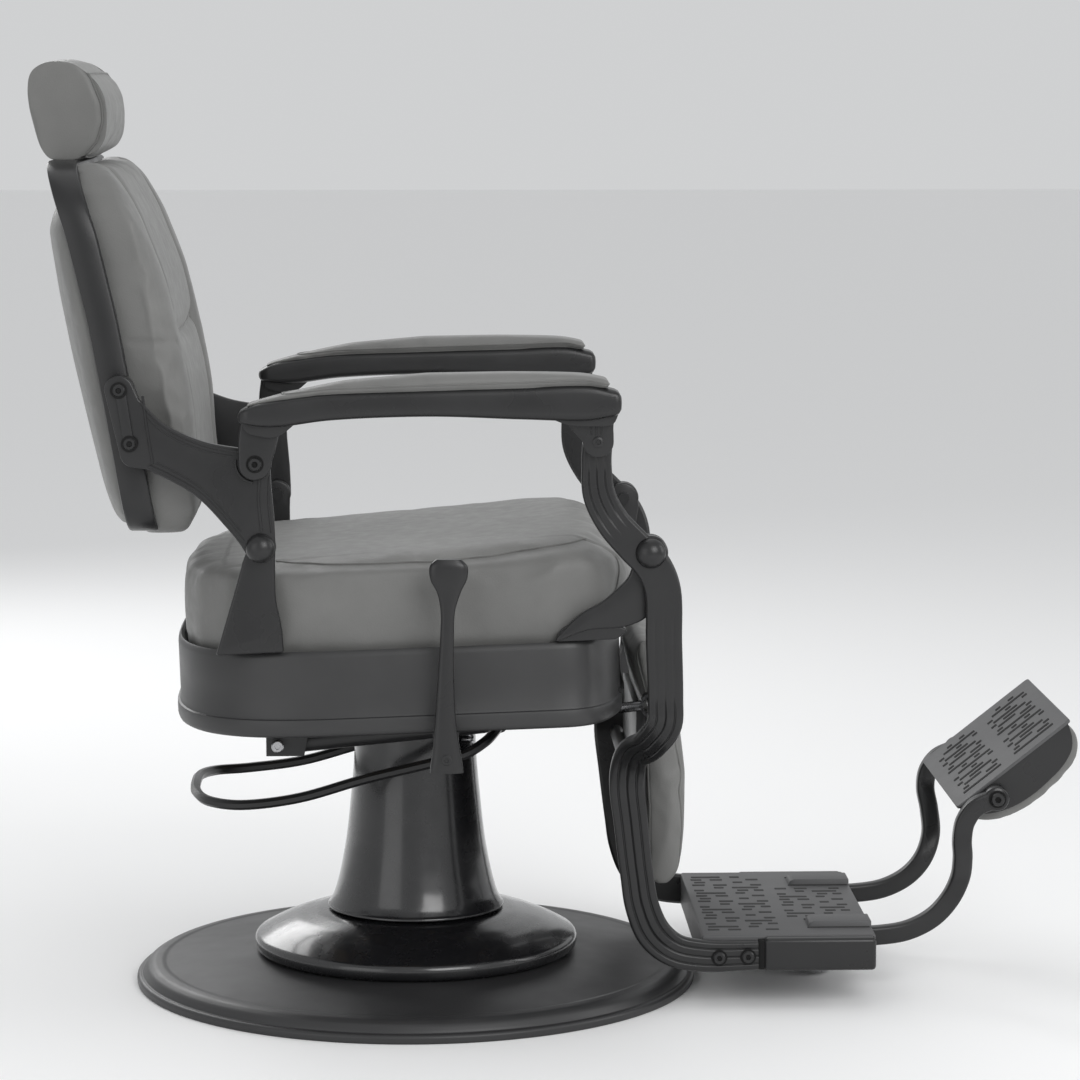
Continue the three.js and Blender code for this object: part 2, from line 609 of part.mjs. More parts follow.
// ---------------------------------------------------------------- arms
function addArmrest(group, side, sign) {
  const topLine = [
    [-188, 702], [-150, 711], [-94, 716], [16, 718], [120, 722], [190, 727], [216, 724], [227, 709],
  ];
  const underLine = [[212, 690], [160, 688], [16, 693], [-94, 688], [-135, 680], [-176, 684], [-191, 692]];
  const rail = sideSolid([...topLine, ...underLine], ...mirrored([268, 312], sign));
  const rearLeg = [
    [-188, 700], [-192, 668], ...arc(ARM_REAR_PIVOT, 18, 180, 340, 7), [-152, 652], [-138, 690],
  ];
  const lug = [[163, 700], [166, 686], [181, 668], ...arc(ARM_FRONT_PIVOT, 17, 180, 360, 7), [219, 700]];
  const frame = join(
    rail,
    sideSolid(rearLeg, ...mirrored(ARM_LAYER, sign), [[...ARM_REAR_PIVOT, 5.6]]),
    sideSolid(lug, ...mirrored(ARM_LAYER, sign), [[...ARM_FRONT_PIVOT, 7]]),
  );
  add(group, `armrest_frame_${side}`, satinBlack(), frame);

  const pad = [
    [-182, 704], [-150, 711.6], [-94, 716.6], [16, 718.6], [120, 722.6], [190, 727.6], [212, 725],
    [209, 736], [187, 740], [100, 741], [16, 740], [-70, 733], [-138, 720], [-172, 712],
  ];
  add(group, `armrest_pad_${side}`, padGrey(), sideSolid(pad, ...mirrored([265, 315], sign)));
}

// ---------------------------------------------------------------- legs and footrest
function addLegs(group) {
  for (const { side, sign } of SIDES) {
    add(group, `leg_${side}`, satinBlack(), leg(sign));
    add(group, `leg_screw_plate_${side}`, satinBlack(), legScrewPlate(sign));
    add(group, `arm_front_bolt_${side}`, satinBlack(), armBolt(ARM_FRONT_PIVOT, sign, MIDDLE_LAYER[0]));
    add(group, `footrest_strap_${side}`, satinBlack(), strap(sign));
    add(group, `toe_bolt_${side}`, satinBlack(), toeBolt(sign));
  }
  add(group, "footplate", treadGrey(), footplate());
  add(group, "foot_glide", brightSteel(), footGlide());

  const tubeReach = INNER_LAYER[1] - 0.5 - (LEG_STEP_IN - 2) - GAP;
  const tube = sideRod(CROSS_TUBE, -tubeReach, tubeReach, 8);
  const backing = box(253, 265 - GAP, -136, 136, 150, 340);
  add(group, "calf_bracket", satinBlack(), join(tube, backing));

  const pad = [
    [265, 146], [274, 138], [292, 138], [305, 152], [310, 200], [311, 265], [303, 320],
    [290, 375], [277, 416], [262, 421], [247, 418], [249, 400], [265, 342],
  ];
  add(group, "calf_pad", padGrey(), sideSolid(pad, -148, 148));
}

const LEG_SCREWS = [[346, 61], [379, 62]];

// One casting from the arm's front pivot, past the leg pivot, down to the footplate.
function leg(sign) {
  const [inner, outer] = [MIDDLE_LAYER[0], LEG_OUTER];
  const [high, low] = [(inner + outer) / 2, (inner + outer) / 2 - LEG_STEP_IN];
  const stations = [
    [201, 664, 16, high], [200, 638, 15, high], [203, 604, 16, high], [218, 574, 17, high],
    [241, 548, 19, high], [262, 526, 20, high], [273, 500, 20, high], [275, 440, 20, high],
    [277, 376, 19.5, high], [276, 348, 19.5, high], [262, 322, 19, high - 24], [244, 298, 19.5, low + 22],
    [240, 266, 20, low], [245, 215, 19.5, low], [252, 155, 19, low], [258, 120, 19.5, low],
    [272, 88, 20, low], [295, 69, 19, low], [330, 62, 18, low], [391, 62.5, 16.5, low],
  ];
  const arm = sideRod(ARM_FRONT_PIVOT, ...mirrored([inner, outer], sign), 16, 20);
  const knee = sideRod(LEG_PIVOT, ...mirrored([inner, outer], sign), 21, 20);
  const bores = [
    sideRod(ARM_FRONT_PIVOT, ...mirrored([inner - 1, outer + 1], sign), 5.4, 10),
    sideRod(LEG_PIVOT, ...mirrored([inner - 1, outer + 1], sign), 7.6, 14),
    ...LEG_SCREWS.map((c) => sideRod(c, ...mirrored([low - 10, low + 10], sign), 4.4, 8)),
  ];
  const stud = sign < 0 ? [sideRod(ROD_STUD, -inner - 4, -CYLINDER_SIDE + 8, 8)] : [];
  return cut(join(bar(stations, outer - inner, sign, 34), arm, knee, ...stud), ...bores);
}

// A strip inside the footplate's side wall with two studs that end in round heads.
function legScrewPlate(sign) {
  const outer = LEG_OUTER - LEG_STEP_IN;
  const heads = LEG_SCREWS.map((c) => sideRod(c, ...mirrored([outer + GAP, outer + 4], sign), 7.5, 12));
  const studs = LEG_SCREWS.map((c) => sideRod(c, ...mirrored([160, outer + 2], sign), 4, 8));
  const strip = box(338, 387, ...mirrored([158, PLATE.halfWidth - 10 - GAP], sign), 54, 69);
  return join(strip, ...heads, ...studs);
}

// An open-bottomed tray with raised tunnels over the two straps.
function footplate() {
  const { rear, front, halfWidth, wideHalfWidth, wideFrom, bottom, top } = PLATE;
  const wall = 10;
  const slab = join(
    box(rear, front, -halfWidth, halfWidth, bottom, top),
    box(wideFrom, front, -wideHalfWidth, wideHalfWidth, bottom, top - 3),
    ...SIDES.map(({ sign }) => box(452, front, ...mirrored([92, 136], sign), top - 10, top + 7)),
  );
  const pocket = box(rear + wall, front - wall, wall - halfWidth, halfWidth - wall, bottom - 1, top - wall);
  const channels = SIDES.map(({ sign }) => {
    const reach = STRAP.halfThickness + GAP;
    const span = mirrored([STRAP.centre - reach, STRAP.centre + reach], sign);
    return box(456, front + 1, ...span, bottom - 1, top - 2);
  });
  const studHoles = SIDES.flatMap(({ sign }) =>
    LEG_SCREWS.map((c) => sideRod(c, ...mirrored([150, 180], sign), 4.4, 8)),
  );
  return cut(slab, pocket, ...channels, ...studHoles);
}

function strap(sign) {
  const { centre, halfThickness, halfDepth, stepOut } = STRAP;
  const stations = [
    [460, 69, 0], [540, 70, 0], [573, 76, 0], [601, 91, 0], [620, 113, 0.04], [630, 140, 0.25],
    [630, 168, 0.65], [627, 192, 0.95], [630, 212, 1], [642, 229, 1], [664, 239, 1],
  ].map(([x, z, step]) => [x, z, halfDepth, centre + step * stepOut]);
  const span = [centre + stepOut - halfThickness, centre + stepOut + halfThickness];
  const bolt = toePoint(...TOE_BOLT);
  const eye = sideRod(bolt, ...mirrored(span, sign), 14, 16);
  const bore = sideRod(bolt, ...mirrored([span[0] - 1, span[1] + 1], sign), 6.4, 12);
  return cut(join(bar(stations, 2 * halfThickness, sign, 20), eye), bore);
}

function toePoint(along, across) {
  const [c, s] = [Math.cos(TOE.tilt), Math.sin(TOE.tilt)];
  return [TOE.edge[0] + along * c - across * s, TOE.edge[1] + along * s + across * c];
}

function toeBolt(sign) {
  const centre = toePoint(...TOE_BOLT);
  const strapOuter = STRAP.centre + STRAP.halfThickness + STRAP.stepOut;
  const shank = sideRod(centre, ...mirrored([TOE.halfWidth - TOE.flange + 0.6, strapOuter + 2], sign), 6, 12);
  const head = sideRod(centre, ...mirrored([strapOuter + GAP, strapOuter + 5], sign), 10, 16);
  return join(shank, head);
}

function footGlide() {
  const glide = turned([[0, 4], [24, 4], [27, 6.5], [27, 10], [20, 13], [6, 13], [6, 73.6], [0, 73.6]], 20);
  return glide.translate([472, 0, 0]);
}

// ---------------------------------------------------------------- toe pad
function addToePad(group) {
  const tilted = new THREE.Group();
  tilted.position.set(TOE.edge[0], 0, TOE.edge[1]);
  tilted.rotation.y = -TOE.tilt;
  group.add(tilted);

  const belly = smooth(
    [[161, -4.4], [160, -20], [151, -36], [128, -48], [80, -54], [46, -50], [20, -40], [4, -26], [-2, -4.4]],
    14,
  );
  const inset = belly.map(([u, v]) => [80 + (u - 80) * 0.965, -3 + (v + 3) * 0.93]);
  const flange = [[157, -2], ...inset, [1, -2]];
  const flanges = SIDES.map(({ sign }) => {
    const span = mirrored([TOE.halfWidth - TOE.flange, TOE.halfWidth], sign);
    return sideSolid([...flange].reverse(), ...span, [[...TOE_BOLT, 6.6]]);
  });
  const face = box(-2, TOE.length + 2, -TOE.halfWidth, TOE.halfWidth, -4, 0);
  add(tilted, "toe_frame", treadGrey(), join(face, ...flanges));
  const reach = TOE.halfWidth - TOE.flange - GAP;
  add(tilted, "toe_cushion", padGrey(), sideSolid([...belly].reverse(), -reach, reach));
}

// ---------------------------------------------------------------- assembly
const chair = new THREE.Group();
chair.rotation.z = -Math.PI / 2;

addPedestal(chair);
addRam(chair);
addSeatFrame(chair);
addSeat(chair);
addSideFrames(chair);
addUnderSeat(chair);
addPedal(chair);
addLever(chair);
addCylinderBody(chair);
addCylinderRod(chair);
addBack(chair);
addHeadrest(chair);
for (const { side, sign } of SIDES) addArmrest(chair, side, sign);
addLegs(chair);
addToePad(chair);

export default chair;
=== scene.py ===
"""The looks of the barber chair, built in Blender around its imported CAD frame.

Pieces are laid out in the chair's own millimetres: forward, to the sitter's left, and up from the floor
under the middle of the base. at() turns such a place into the frame's metres.
"""

import json
import math

import bmesh
import bpy
import numpy as np
from mathutils import Matrix, Vector


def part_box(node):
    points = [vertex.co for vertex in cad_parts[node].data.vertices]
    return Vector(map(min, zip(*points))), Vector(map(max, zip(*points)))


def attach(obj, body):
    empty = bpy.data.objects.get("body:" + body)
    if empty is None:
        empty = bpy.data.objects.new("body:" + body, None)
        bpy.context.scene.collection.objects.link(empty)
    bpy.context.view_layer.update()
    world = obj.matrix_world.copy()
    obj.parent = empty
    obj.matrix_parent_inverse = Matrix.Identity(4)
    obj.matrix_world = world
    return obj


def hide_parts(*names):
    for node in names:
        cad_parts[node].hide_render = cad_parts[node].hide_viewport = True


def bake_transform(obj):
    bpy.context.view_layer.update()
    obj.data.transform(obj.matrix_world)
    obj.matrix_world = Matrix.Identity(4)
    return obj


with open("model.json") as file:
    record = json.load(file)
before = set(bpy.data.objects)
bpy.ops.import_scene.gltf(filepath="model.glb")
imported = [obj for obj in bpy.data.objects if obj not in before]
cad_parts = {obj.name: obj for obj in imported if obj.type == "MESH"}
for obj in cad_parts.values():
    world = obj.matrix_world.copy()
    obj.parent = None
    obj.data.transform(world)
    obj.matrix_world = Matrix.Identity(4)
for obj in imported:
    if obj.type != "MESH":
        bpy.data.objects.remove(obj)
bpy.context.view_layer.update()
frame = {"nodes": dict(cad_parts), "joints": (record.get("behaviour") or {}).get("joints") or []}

MM = 0.001
SIDES = {"right": -1, "left": 1}

# Layers of the side linkage, outward from the seat, as in the frame.
INNER = (258, 268)
MIDDLE = (270, 280)
LEG_OUTER = 283
ARM = (284.5, 294.5)


def at(forward, left, up):
    return Vector((left, -forward, up)) * MM


def chair_box(node):
    """(low, high) corners of a CAD node in the chair's millimetres: forward, left, up."""
    low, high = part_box(node)
    return Vector((-high.y, low.x, low.z)) / MM, Vector((-low.y, high.x, high.z)) / MM


def pivot(joint):
    """(forward, up) of a joint of the frame."""
    _, y, z = next(j["pos_m"] for j in frame["joints"] if j["name"] == joint)
    return -y / MM, z / MM


BACK_PIVOT = pivot("recline")
LEG_PIVOT = pivot("footrest_swing")
ARM_PIVOT = pivot("arm_right_link")
LEVER_PIVOT = pivot("recline_lever_swing")
PEDAL_PIVOT = pivot("pump")
TOE_PIVOT = pivot("toe_pad_flip")
CYLINDER_PIVOT = pivot("cylinder_swing")
ARM_FRONT = (201, 664)
ROD_STUD = (272, 350)
STRUT_SIDE = -next(j["pos_m"][0] for j in frame["joints"] if j["name"] == "cylinder_swing") / MM


# ---------------------------------------------------------------- materials
def set_inputs(node, sockets):
    """Constants on a node's own sockets, whose names have _ for a space."""
    for socket, value in sockets.items():
        node.inputs[socket.replace("_", " ")].default_value = value


def new_material(name, color, roughness, metallic=0.0, **sockets):
    material = bpy.data.materials.new(name)
    material.use_nodes = True
    shader = material.node_tree.nodes["Principled BSDF"]
    set_inputs(shader, {"Base_Color": (*color, 1), "Roughness": roughness, "Metallic": metallic, **sockets})
    return material, shader


def new_node(material, kind, **sockets):
    node = material.node_tree.nodes.new(f"ShaderNode{kind}")
    set_inputs(node, sockets)
    return node


def noise(material, scale, detail=3.0, roughness=0.55, stretch=(1, 1, 1)):
    links = material.node_tree.links
    place = new_node(material, "TexCoord")
    mapping = new_node(material, "Mapping", Scale=stretch)
    texture = new_node(material, "TexNoise", Scale=scale, Detail=detail, Roughness=roughness)
    links.new(place.outputs["Object"], mapping.inputs["Vector"])
    links.new(mapping.outputs["Vector"], texture.inputs["Vector"])
    return texture.outputs["Fac"]


def vary_color(material, shader, value, low, high):
    """Lets the colour drift between two colours with a noise value."""
    node = new_node(material, "ValToRGB")
    for element, place, color in zip(node.color_ramp.elements, (0.3, 0.7), (low, high)):
        element.position = place
        element.color = (*color, 1)
    material.node_tree.links.new(value, node.inputs["Fac"])
    material.node_tree.links.new(node.outputs["Color"], shader.inputs["Base Color"])


def vary_roughness(material, shader, value, low, high):
    node = new_node(material, "MapRange", From_Min=0.3, From_Max=0.7, To_Min=low, To_Max=high)
    material.node_tree.links.new(value, node.inputs["Value"])
    material.node_tree.links.new(node.outputs["Result"], shader.inputs["Roughness"])


def bump(material, shader, heights, distance, strength=1.0):
    """Bump from one or more (value, weight) heights."""
    links = material.node_tree.links
    total = None
    for value, weight in heights:
        scaled = new_node(material, "Math")
        scaled.operation = "MULTIPLY_ADD"
        links.new(value, scaled.inputs[0])
        scaled.inputs[1].default_value = weight
        if total:
            links.new(total, scaled.inputs[2])
        else:
            scaled.inputs[2].default_value = 0
        total = scaled.outputs[0]
    node = new_node(material, "Bump", Distance=distance, Strength=strength)
    links.new(total, node.inputs["Height"])
    links.new(node.outputs["Normal"], shader.inputs["Normal"])


def shade(color, factor):
    return tuple(c * factor for c in color)


def leather(name, color):
    """Smooth upholstery leather: fine pebbled grain, slow colour drift and a soft sheen."""
    sheen = {"Sheen_Weight": 0.12, "Sheen_Roughness": 0.5}
    material, shader = new_material(name, color, 0.5, Specular_IOR_Level=0.42, **sheen)
    vary_color(material, shader, noise(material, 9, 4), shade(color, 0.9), shade(color, 1.08))
    vary_roughness(material, shader, noise(material, 60, 4), 0.42, 0.58)
    place = new_node(material, "TexCoord")
    pebbles = new_node(material, "TexVoronoi", Scale=620)
    pebbles.feature = "SMOOTH_F1"
    material.node_tree.links.new(place.outputs["Object"], pebbles.inputs["Vector"])
    wrinkles = noise(material, 140, 5, 0.6)
    bump(material, shader, [(pebbles.outputs["Distance"], 0.6), (wrinkles, 0.8)], 0.0006, 0.35)
    return material


def satin_paint(name, color, roughness=0.42, specular=0.42):
    """Powder-coated metal: very fine orange peel."""
    material, shader = new_material(name, color, roughness, 0.0, Specular_IOR_Level=specular)
    peel = noise(material, 1100, 2)
    cloud = noise(material, 14, 3)
    vary_color(material, shader, cloud, shade(color, 0.92), shade(color, 1.1))
    vary_roughness(material, shader, cloud, roughness - 0.05, roughness + 0.05)
    bump(material, shader, [(peel, 1)], 0.00025, 0.25)
    return material


def gloss_paint(name, color):
    """Deep black lacquer with a clear coat."""
    material, shader = new_material(name, color, 0.2, Coat_Weight=0.6, Coat_Roughness=0.13)
    vary_roughness(material, shader, noise(material, 35, 4), 0.2, 0.32)
    bump(material, shader, [(noise(material, 45, 2), 1)], 0.0006, 0.08)
    return material


def steel(name, color, roughness):
    material, shader = new_material(name, color, roughness, 1.0)
    grain = noise(material, 260, 4, 0.6)
    vary_roughness(material, shader, grain, roughness * 0.7, roughness * 1.3)
    bump(material, shader, [(grain, 1)], 0.0002, 0.15)
    return material


def rubber(name):
    material, shader = new_material(name, (0.02, 0.02, 0.02), 0.85, 0.0)
    vary_roughness(material, shader, noise(material, 80, 4), 0.75, 0.95)
    bump(material, shader, [(noise(material, 500, 3), 1)], 0.0005, 0.4)
    return material


def plywood(name):
    material, shader = new_material(name, (0.4, 0.26, 0.13), 0.7, 0.0)
    grain = noise(material, 30, 6, 0.6, (1, 14, 60))
    vary_color(material, shader, grain, (0.3, 0.18, 0.08), (0.5, 0.34, 0.18))
    bump(material, shader, [(grain, 1)], 0.0006, 0.4)
    return material


LEATHER = leather("leather", (0.152, 0.152, 0.147))
PIPING = leather("piping_leather", (0.125, 0.125, 0.12))
SATIN = satin_paint("satin_black", (0.015, 0.015, 0.0155), 0.34)
CAST = satin_paint("cast_black", (0.016, 0.016, 0.0165), 0.3)
TREAD = satin_paint("tread_grey", (0.075, 0.075, 0.077), 0.48)
PLATE_GREY = satin_paint("plate_grey", (0.085, 0.085, 0.087), 0.5)
# A lighter copy of the satin black, for the seat shell: the extra lightness is a painted broad highlight.
SHELL_LIGHTENED_PAINT = satin_paint("shell_black_lightened", (0.028, 0.028, 0.0285), 0.42, 0.5)
# Dark grey for the footplate's strokes and corner strips: painted shade.
GRIP_SHADE_GREY = satin_paint("grip_shade_grey", (0.032, 0.032, 0.032), 0.7, 0.3)
# Near-black paint for painted shade: in engraved slots, around screw heads and in gaps.
SHADE_BLACK = satin_paint("slot_shade_black", (0.008, 0.008, 0.008), 0.7, 0.2)
BASE_PAINT = satin_paint("base_black", (0.024, 0.024, 0.025), 0.42, 0.5)
GLOSS = gloss_paint("gloss_black", (0.008, 0.008, 0.009))
STEEL = steel("bright_steel", (0.42, 0.42, 0.43), 0.28)
CHROME = steel("chromed_steel", (0.7, 0.7, 0.71), 0.1)
ROD_CHROME = steel("dark_chrome", (0.16, 0.16, 0.165), 0.26)
RUBBER = rubber("rubber_black")
PLYWOOD = plywood("plywood")


# ---------------------------------------------------------------- mesh tools
def piece(name, bm, material, body, replaces=(), smooth_angle=35):
    """Makes a shown piece from a bmesh in the chair's millimetres."""
    bmesh.ops.remove_doubles(bm, verts=bm.verts, dist=0.01)
    for vertex in bm.verts:
        vertex.co = at(*vertex.co)
    bmesh.ops.recalc_face_normals(bm, faces=bm.faces)
    mesh = bpy.data.meshes.new(name)
    bm.to_mesh(mesh)
    bm.free()
    return dress(name, mesh, material, body, replaces, smooth_angle)


def skin(node, bm, material, body, smooth_angle=35):
    """The shown piece in the place of one CAD node."""
    return piece(f"{node}_skin", bm, material, body, [node], smooth_angle)


def dress(name, mesh, material, body, replaces=(), smooth_angle=35):
    mesh.materials.clear()
    mesh.materials.append(material)
    mesh.shade_smooth()
    mesh.set_sharp_from_angle(angle=math.radians(smooth_angle))
    obj = bpy.data.objects.new(name, mesh)
    bpy.context.scene.collection.objects.link(obj)
    if body:
        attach(obj, body)
    if replaces:
        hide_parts(*replaces)
    return obj


def spline(points, count):
    """A smooth line (centripetal Catmull-Rom) through rows of numbers, the first three being a place."""
    rows = np.array(points, float)
    rows = np.vstack([2 * rows[0] - rows[1], rows, 2 * rows[-1] - rows[-2]])
    gaps = np.sqrt(np.maximum(np.linalg.norm(np.diff(rows[:, :3], axis=0), axis=1), 1e-6))
    knots = np.concatenate([[0], np.cumsum(gaps)])
    out = []
    for u in np.linspace(knots[1], knots[-2], count):
        i = int(np.clip(np.searchsorted(knots, u, side="right") - 1, 1, len(rows) - 3))
        k, p = knots[i - 1 : i + 3], rows[i - 1 : i + 3]
        a = [((k[j + 1] - u) * p[j] + (u - k[j]) * p[j + 1]) / (k[j + 1] - k[j]) for j in range(3)]
        b = [((k[j + 2] - u) * a[j] + (u - k[j]) * a[j + 1]) / (k[j + 2] - k[j]) for j in range(2)]
        out.append(((k[2] - u) * b[0] + (u - k[1]) * b[1]) / (k[2] - k[1]))
    return out


def fillet(points, radius, steps=4):
    """A closed outline with rounded corners. radius is one number, or one for each corner."""
    radii = radius if isinstance(radius, (list, tuple)) else [radius] * len(points)
    out = []
    for i, (corner, r) in enumerate(zip(map(Vector, points), radii)):
        before = Vector(points[i - 1]) - corner
        after = Vector(points[(i + 1) % len(points)]) - corner
        reach = min(r, before.length * 0.49, after.length * 0.49)
        a, b = corner + before.normalized() * reach, corner + after.normalized() * reach
        for k in range(steps + 1):
            t = k / steps
            out.append(a * (1 - t) ** 2 + corner * 2 * t * (1 - t) + b * t * t)
    return [tuple(p) for p in out]


def arc(centre, radius, start, end, count=12):
    angles = np.radians(np.linspace(start, end, count + 1))
    return [(centre[0] + radius * math.cos(a), centre[1] + radius * math.sin(a)) for a in angles]


def loops_to_mesh(bm, loops, closed_end=True, closed_around=False):
    """Joins rings of places, each with the same number, into a skin."""
    rings = [[bm.verts.new(p) for p in loop] for loop in loops]
    pairs = list(zip(rings, rings[1:])) + ([(rings[-1], rings[0])] if closed_around else [])
    for first, second in pairs:
        for i in range(len(first)):
            j = (i + 1) % len(first)
            bm.faces.new((first[i], first[j], second[j], second[i]))
    if closed_end and not closed_around:
        bm.faces.new(list(reversed(rings[0])))
        bm.faces.new(rings[-1])
    return rings


def round_edges(bm, width, segments=3, angle=40):
    sharp = [e for e in bm.edges if len(e.link_faces) == 2 and e.calc_face_angle(0) > math.radians(angle)]
    bmesh.ops.bevel(
        bm, geom=sharp, offset=width, segments=segments, profile=0.5, affect="EDGES", clamp_overlap=True,
    )


def solid(loops, edge=0, bm=None, segments=3):
    """A closed skin through rings of places, with rounded edges, added to bm."""
    part = bmesh.new()
    loops_to_mesh(part, loops)
    bmesh.ops.recalc_face_normals(part, faces=part.faces)
    if edge:
        round_edges(part, edge, segments)
    return merged(bm, part)


def plate(outline, near, far, edge=1.5, bm=None):
    """A flat plate whose outline is in the (forward, up) plane, between two lateral places."""
    return solid([[(x, y, z) for x, z in outline] for y in (near, far)], edge, bm)


def boxed(spans, edge, bm=None, segments=3):
    """A box given by its (low, high) spans forward, to the left and up, with rounded edges."""
    (x0, x1), (y0, y1), (z0, z1) = spans
    loops = [[(x0, y0, z), (x1, y0, z), (x1, y1, z), (x0, y1, z)] for z in (z0, z1)]
    return solid(loops, edge, bm, segments)


def merged(bm, part):
    if bm is None:
        return part
    mesh = bpy.data.meshes.new("part")
    part.to_mesh(mesh)
    part.free()
    bm.from_mesh(mesh)
    bpy.data.meshes.remove(mesh)
    return bm


def lathe(profile, segments=96, place=None, bm=None):
    """A (radius, height) profile turned about an axis. place maps (a, b, height) to the chair."""
    place = place or (lambda a, b, h: (a, b, h))
    part = bmesh.new()
    angles = np.linspace(0, 2 * math.pi, segments, endpoint=False)
    closed = profile[0][0] > 0.01
    loops = [[place(r * math.cos(t), r * math.sin(t), h) for t in angles] for r, h in profile]
    loops_to_mesh(part, loops, closed_end=False, closed_around=closed)
    bmesh.ops.remove_doubles(part, verts=part.verts, dist=0.01)
    bmesh.ops.dissolve_degenerate(part, edges=part.edges, dist=0.005)
    return merged(bm, part)


def drum(inner, outer, near, far, segments, place, bm=None):
    """A square-edged round, solid where inner is 0, between two heights of its axis."""
    return lathe([(inner, near), (outer, near), (outer, far), (inner, far)], segments, place, bm)


def turned(points, rounding, segments, place=None):
    """A turned skin from an open (radius, height) profile whose inner corners are rounded."""
    rounded = fillet(points, [0.01] + [rounding] * (len(points) - 2) + [0.01], 5)
    return lathe([p for p in rounded if p[0] >= 0], segments, place)


def across(centre, sign):
    """Maps a turned profile onto a lateral axis at (forward, up): height counts outward from the middle."""
    return lambda a, b, h: (centre[0] + a, sign * h, centre[1] + b)


def sweep(centres, section_at, side=(0, 1, 0), closed=False, bm=None):
    """A skin along a line of places. section_at(i) gives (across, sideways) offsets.

    side keeps the section level. Without it the section's frame is carried along the line.
    """
    rows = [Vector(c) for c in centres]
    last = len(rows) - 1
    loops = []
    cross = None
    for i, centre in enumerate(rows):
        ahead = rows[(i + 1) % len(rows)] if closed else rows[min(i + 1, last)]
        behind = rows[i - 1] if closed or i else rows[0]
        along = (ahead - behind).normalized()
        if side:
            cross = along.cross(Vector(side)).normalized()
            lateral = cross.cross(along)
        else:
            cross = cross or along.orthogonal().normalized()
            cross = (cross - along * cross.dot(along)).normalized()
            lateral = along.cross(cross)
        loops.append([centre + cross * a + lateral * b for a, b in section_at(i)])
    part = bmesh.new()
    loops_to_mesh(part, loops, closed_around=closed)
    return merged(bm, part)


def welt(line, radius, looped=False, bm=None):
    """A round cord along any line."""
    section = circle_section(radius, 8)
    return sweep(line, lambda _: section, None, looped, bm)


def circle_section(radius, count=16):
    angles = np.linspace(0, 2 * math.pi, count, endpoint=False)
    return [(radius * math.cos(t), radius * math.sin(t)) for t in angles]


def oblong_section(half_a, half_b, power=4, count=28):
    """A rounded rectangle (superellipse)."""
    def signed(v):
        return math.copysign(abs(v) ** (2 / power), v)

    angles = np.linspace(0, 2 * math.pi, count, endpoint=False)
    return [(half_a * signed(math.cos(t)), half_b * signed(math.sin(t))) for t in angles]


def refine(node, body, material, width=1.0):
    """A copy of a CAD node with its flat faces joined, its edges rounded and its shading smooth."""
    bm = bmesh.new()
    bm.from_mesh(frame["nodes"][node].data)
    bmesh.ops.remove_doubles(bm, verts=bm.verts, dist=1e-5)
    bmesh.ops.dissolve_limit(bm, angle_limit=math.radians(1.5), verts=bm.verts, edges=bm.edges)
    round_edges(bm, width * MM, 2, 50)
    mesh = bpy.data.meshes.new(f"{node}_skin")
    bm.to_mesh(mesh)
    bm.free()
    return dress(f"{node}_skin", mesh, material, body, [node], 38)


def carve(obj, low, high):
    """Cuts a box, given by its corners in chair millimetres, out of a piece."""
    bm = bmesh.new()
    bmesh.ops.create_cube(bm, size=1)
    for vertex in bm.verts:
        vertex.co = at(*(l + (h - l) * (c + 0.5) for l, h, c in zip(low, high, vertex.co)))
    bmesh.ops.recalc_face_normals(bm, faces=bm.faces)
    mesh = bpy.data.meshes.new("cutter")
    bm.to_mesh(mesh)
    bm.free()
    cutter = bpy.data.objects.new("cutter", mesh)
    bpy.context.scene.collection.objects.link(cutter)
    cut = obj.modifiers.new("cut", "BOOLEAN")
    cut.operation, cut.object, cut.solver = "DIFFERENCE", cutter, "EXACT"
    apply_modifiers(obj)
    bpy.data.objects.remove(cutter)
    obj.data.set_sharp_from_angle(angle=math.radians(40))


# ---------------------------------------------------------------- upholstery
CLOTH_STIFFNESS = 12
CLOTH_FRAMES = 20
WELT_STEP = 5.0


def soft_start(name, node, shrink, voxel):
    """The CAD solid's mesh, remeshed to an even net and drawn in by shrink millimetres."""
    obj = bpy.data.objects.new(name, frame["nodes"][node].data.copy())
    bpy.context.scene.collection.objects.link(obj)
    remesh = obj.modifiers.new("net", "REMESH")
    remesh.mode = "VOXEL"
    remesh.voxel_size = voxel * MM
    apply_modifiers(obj)
    normals = [v.normal.copy() for v in obj.data.vertices]
    for vertex, normal in zip(obj.data.vertices, normals):
        vertex.co -= normal * shrink * MM
    return obj


def apply_modifiers(obj):
    depsgraph = bpy.context.evaluated_depsgraph_get()
    mesh = bpy.data.meshes.new_from_object(obj.evaluated_get(depsgraph))
    obj.modifiers.clear()
    old = obj.data
    obj.data = mesh
    bpy.data.meshes.remove(old)


def places(mesh):
    flat = np.zeros(len(mesh.vertices) * 3)
    mesh.vertices.foreach_get("co", flat)
    return flat.reshape(-1, 3)


def chair_places(mesh):
    """A mesh's places in the chair's millimetres."""
    rows = places(mesh)
    return np.column_stack([-rows[:, 1], rows[:, 0], rows[:, 2]]) / MM


def move_to(obj, rows):
    obj.data.vertices.foreach_set("co", rows.ravel())
    obj.data.update()


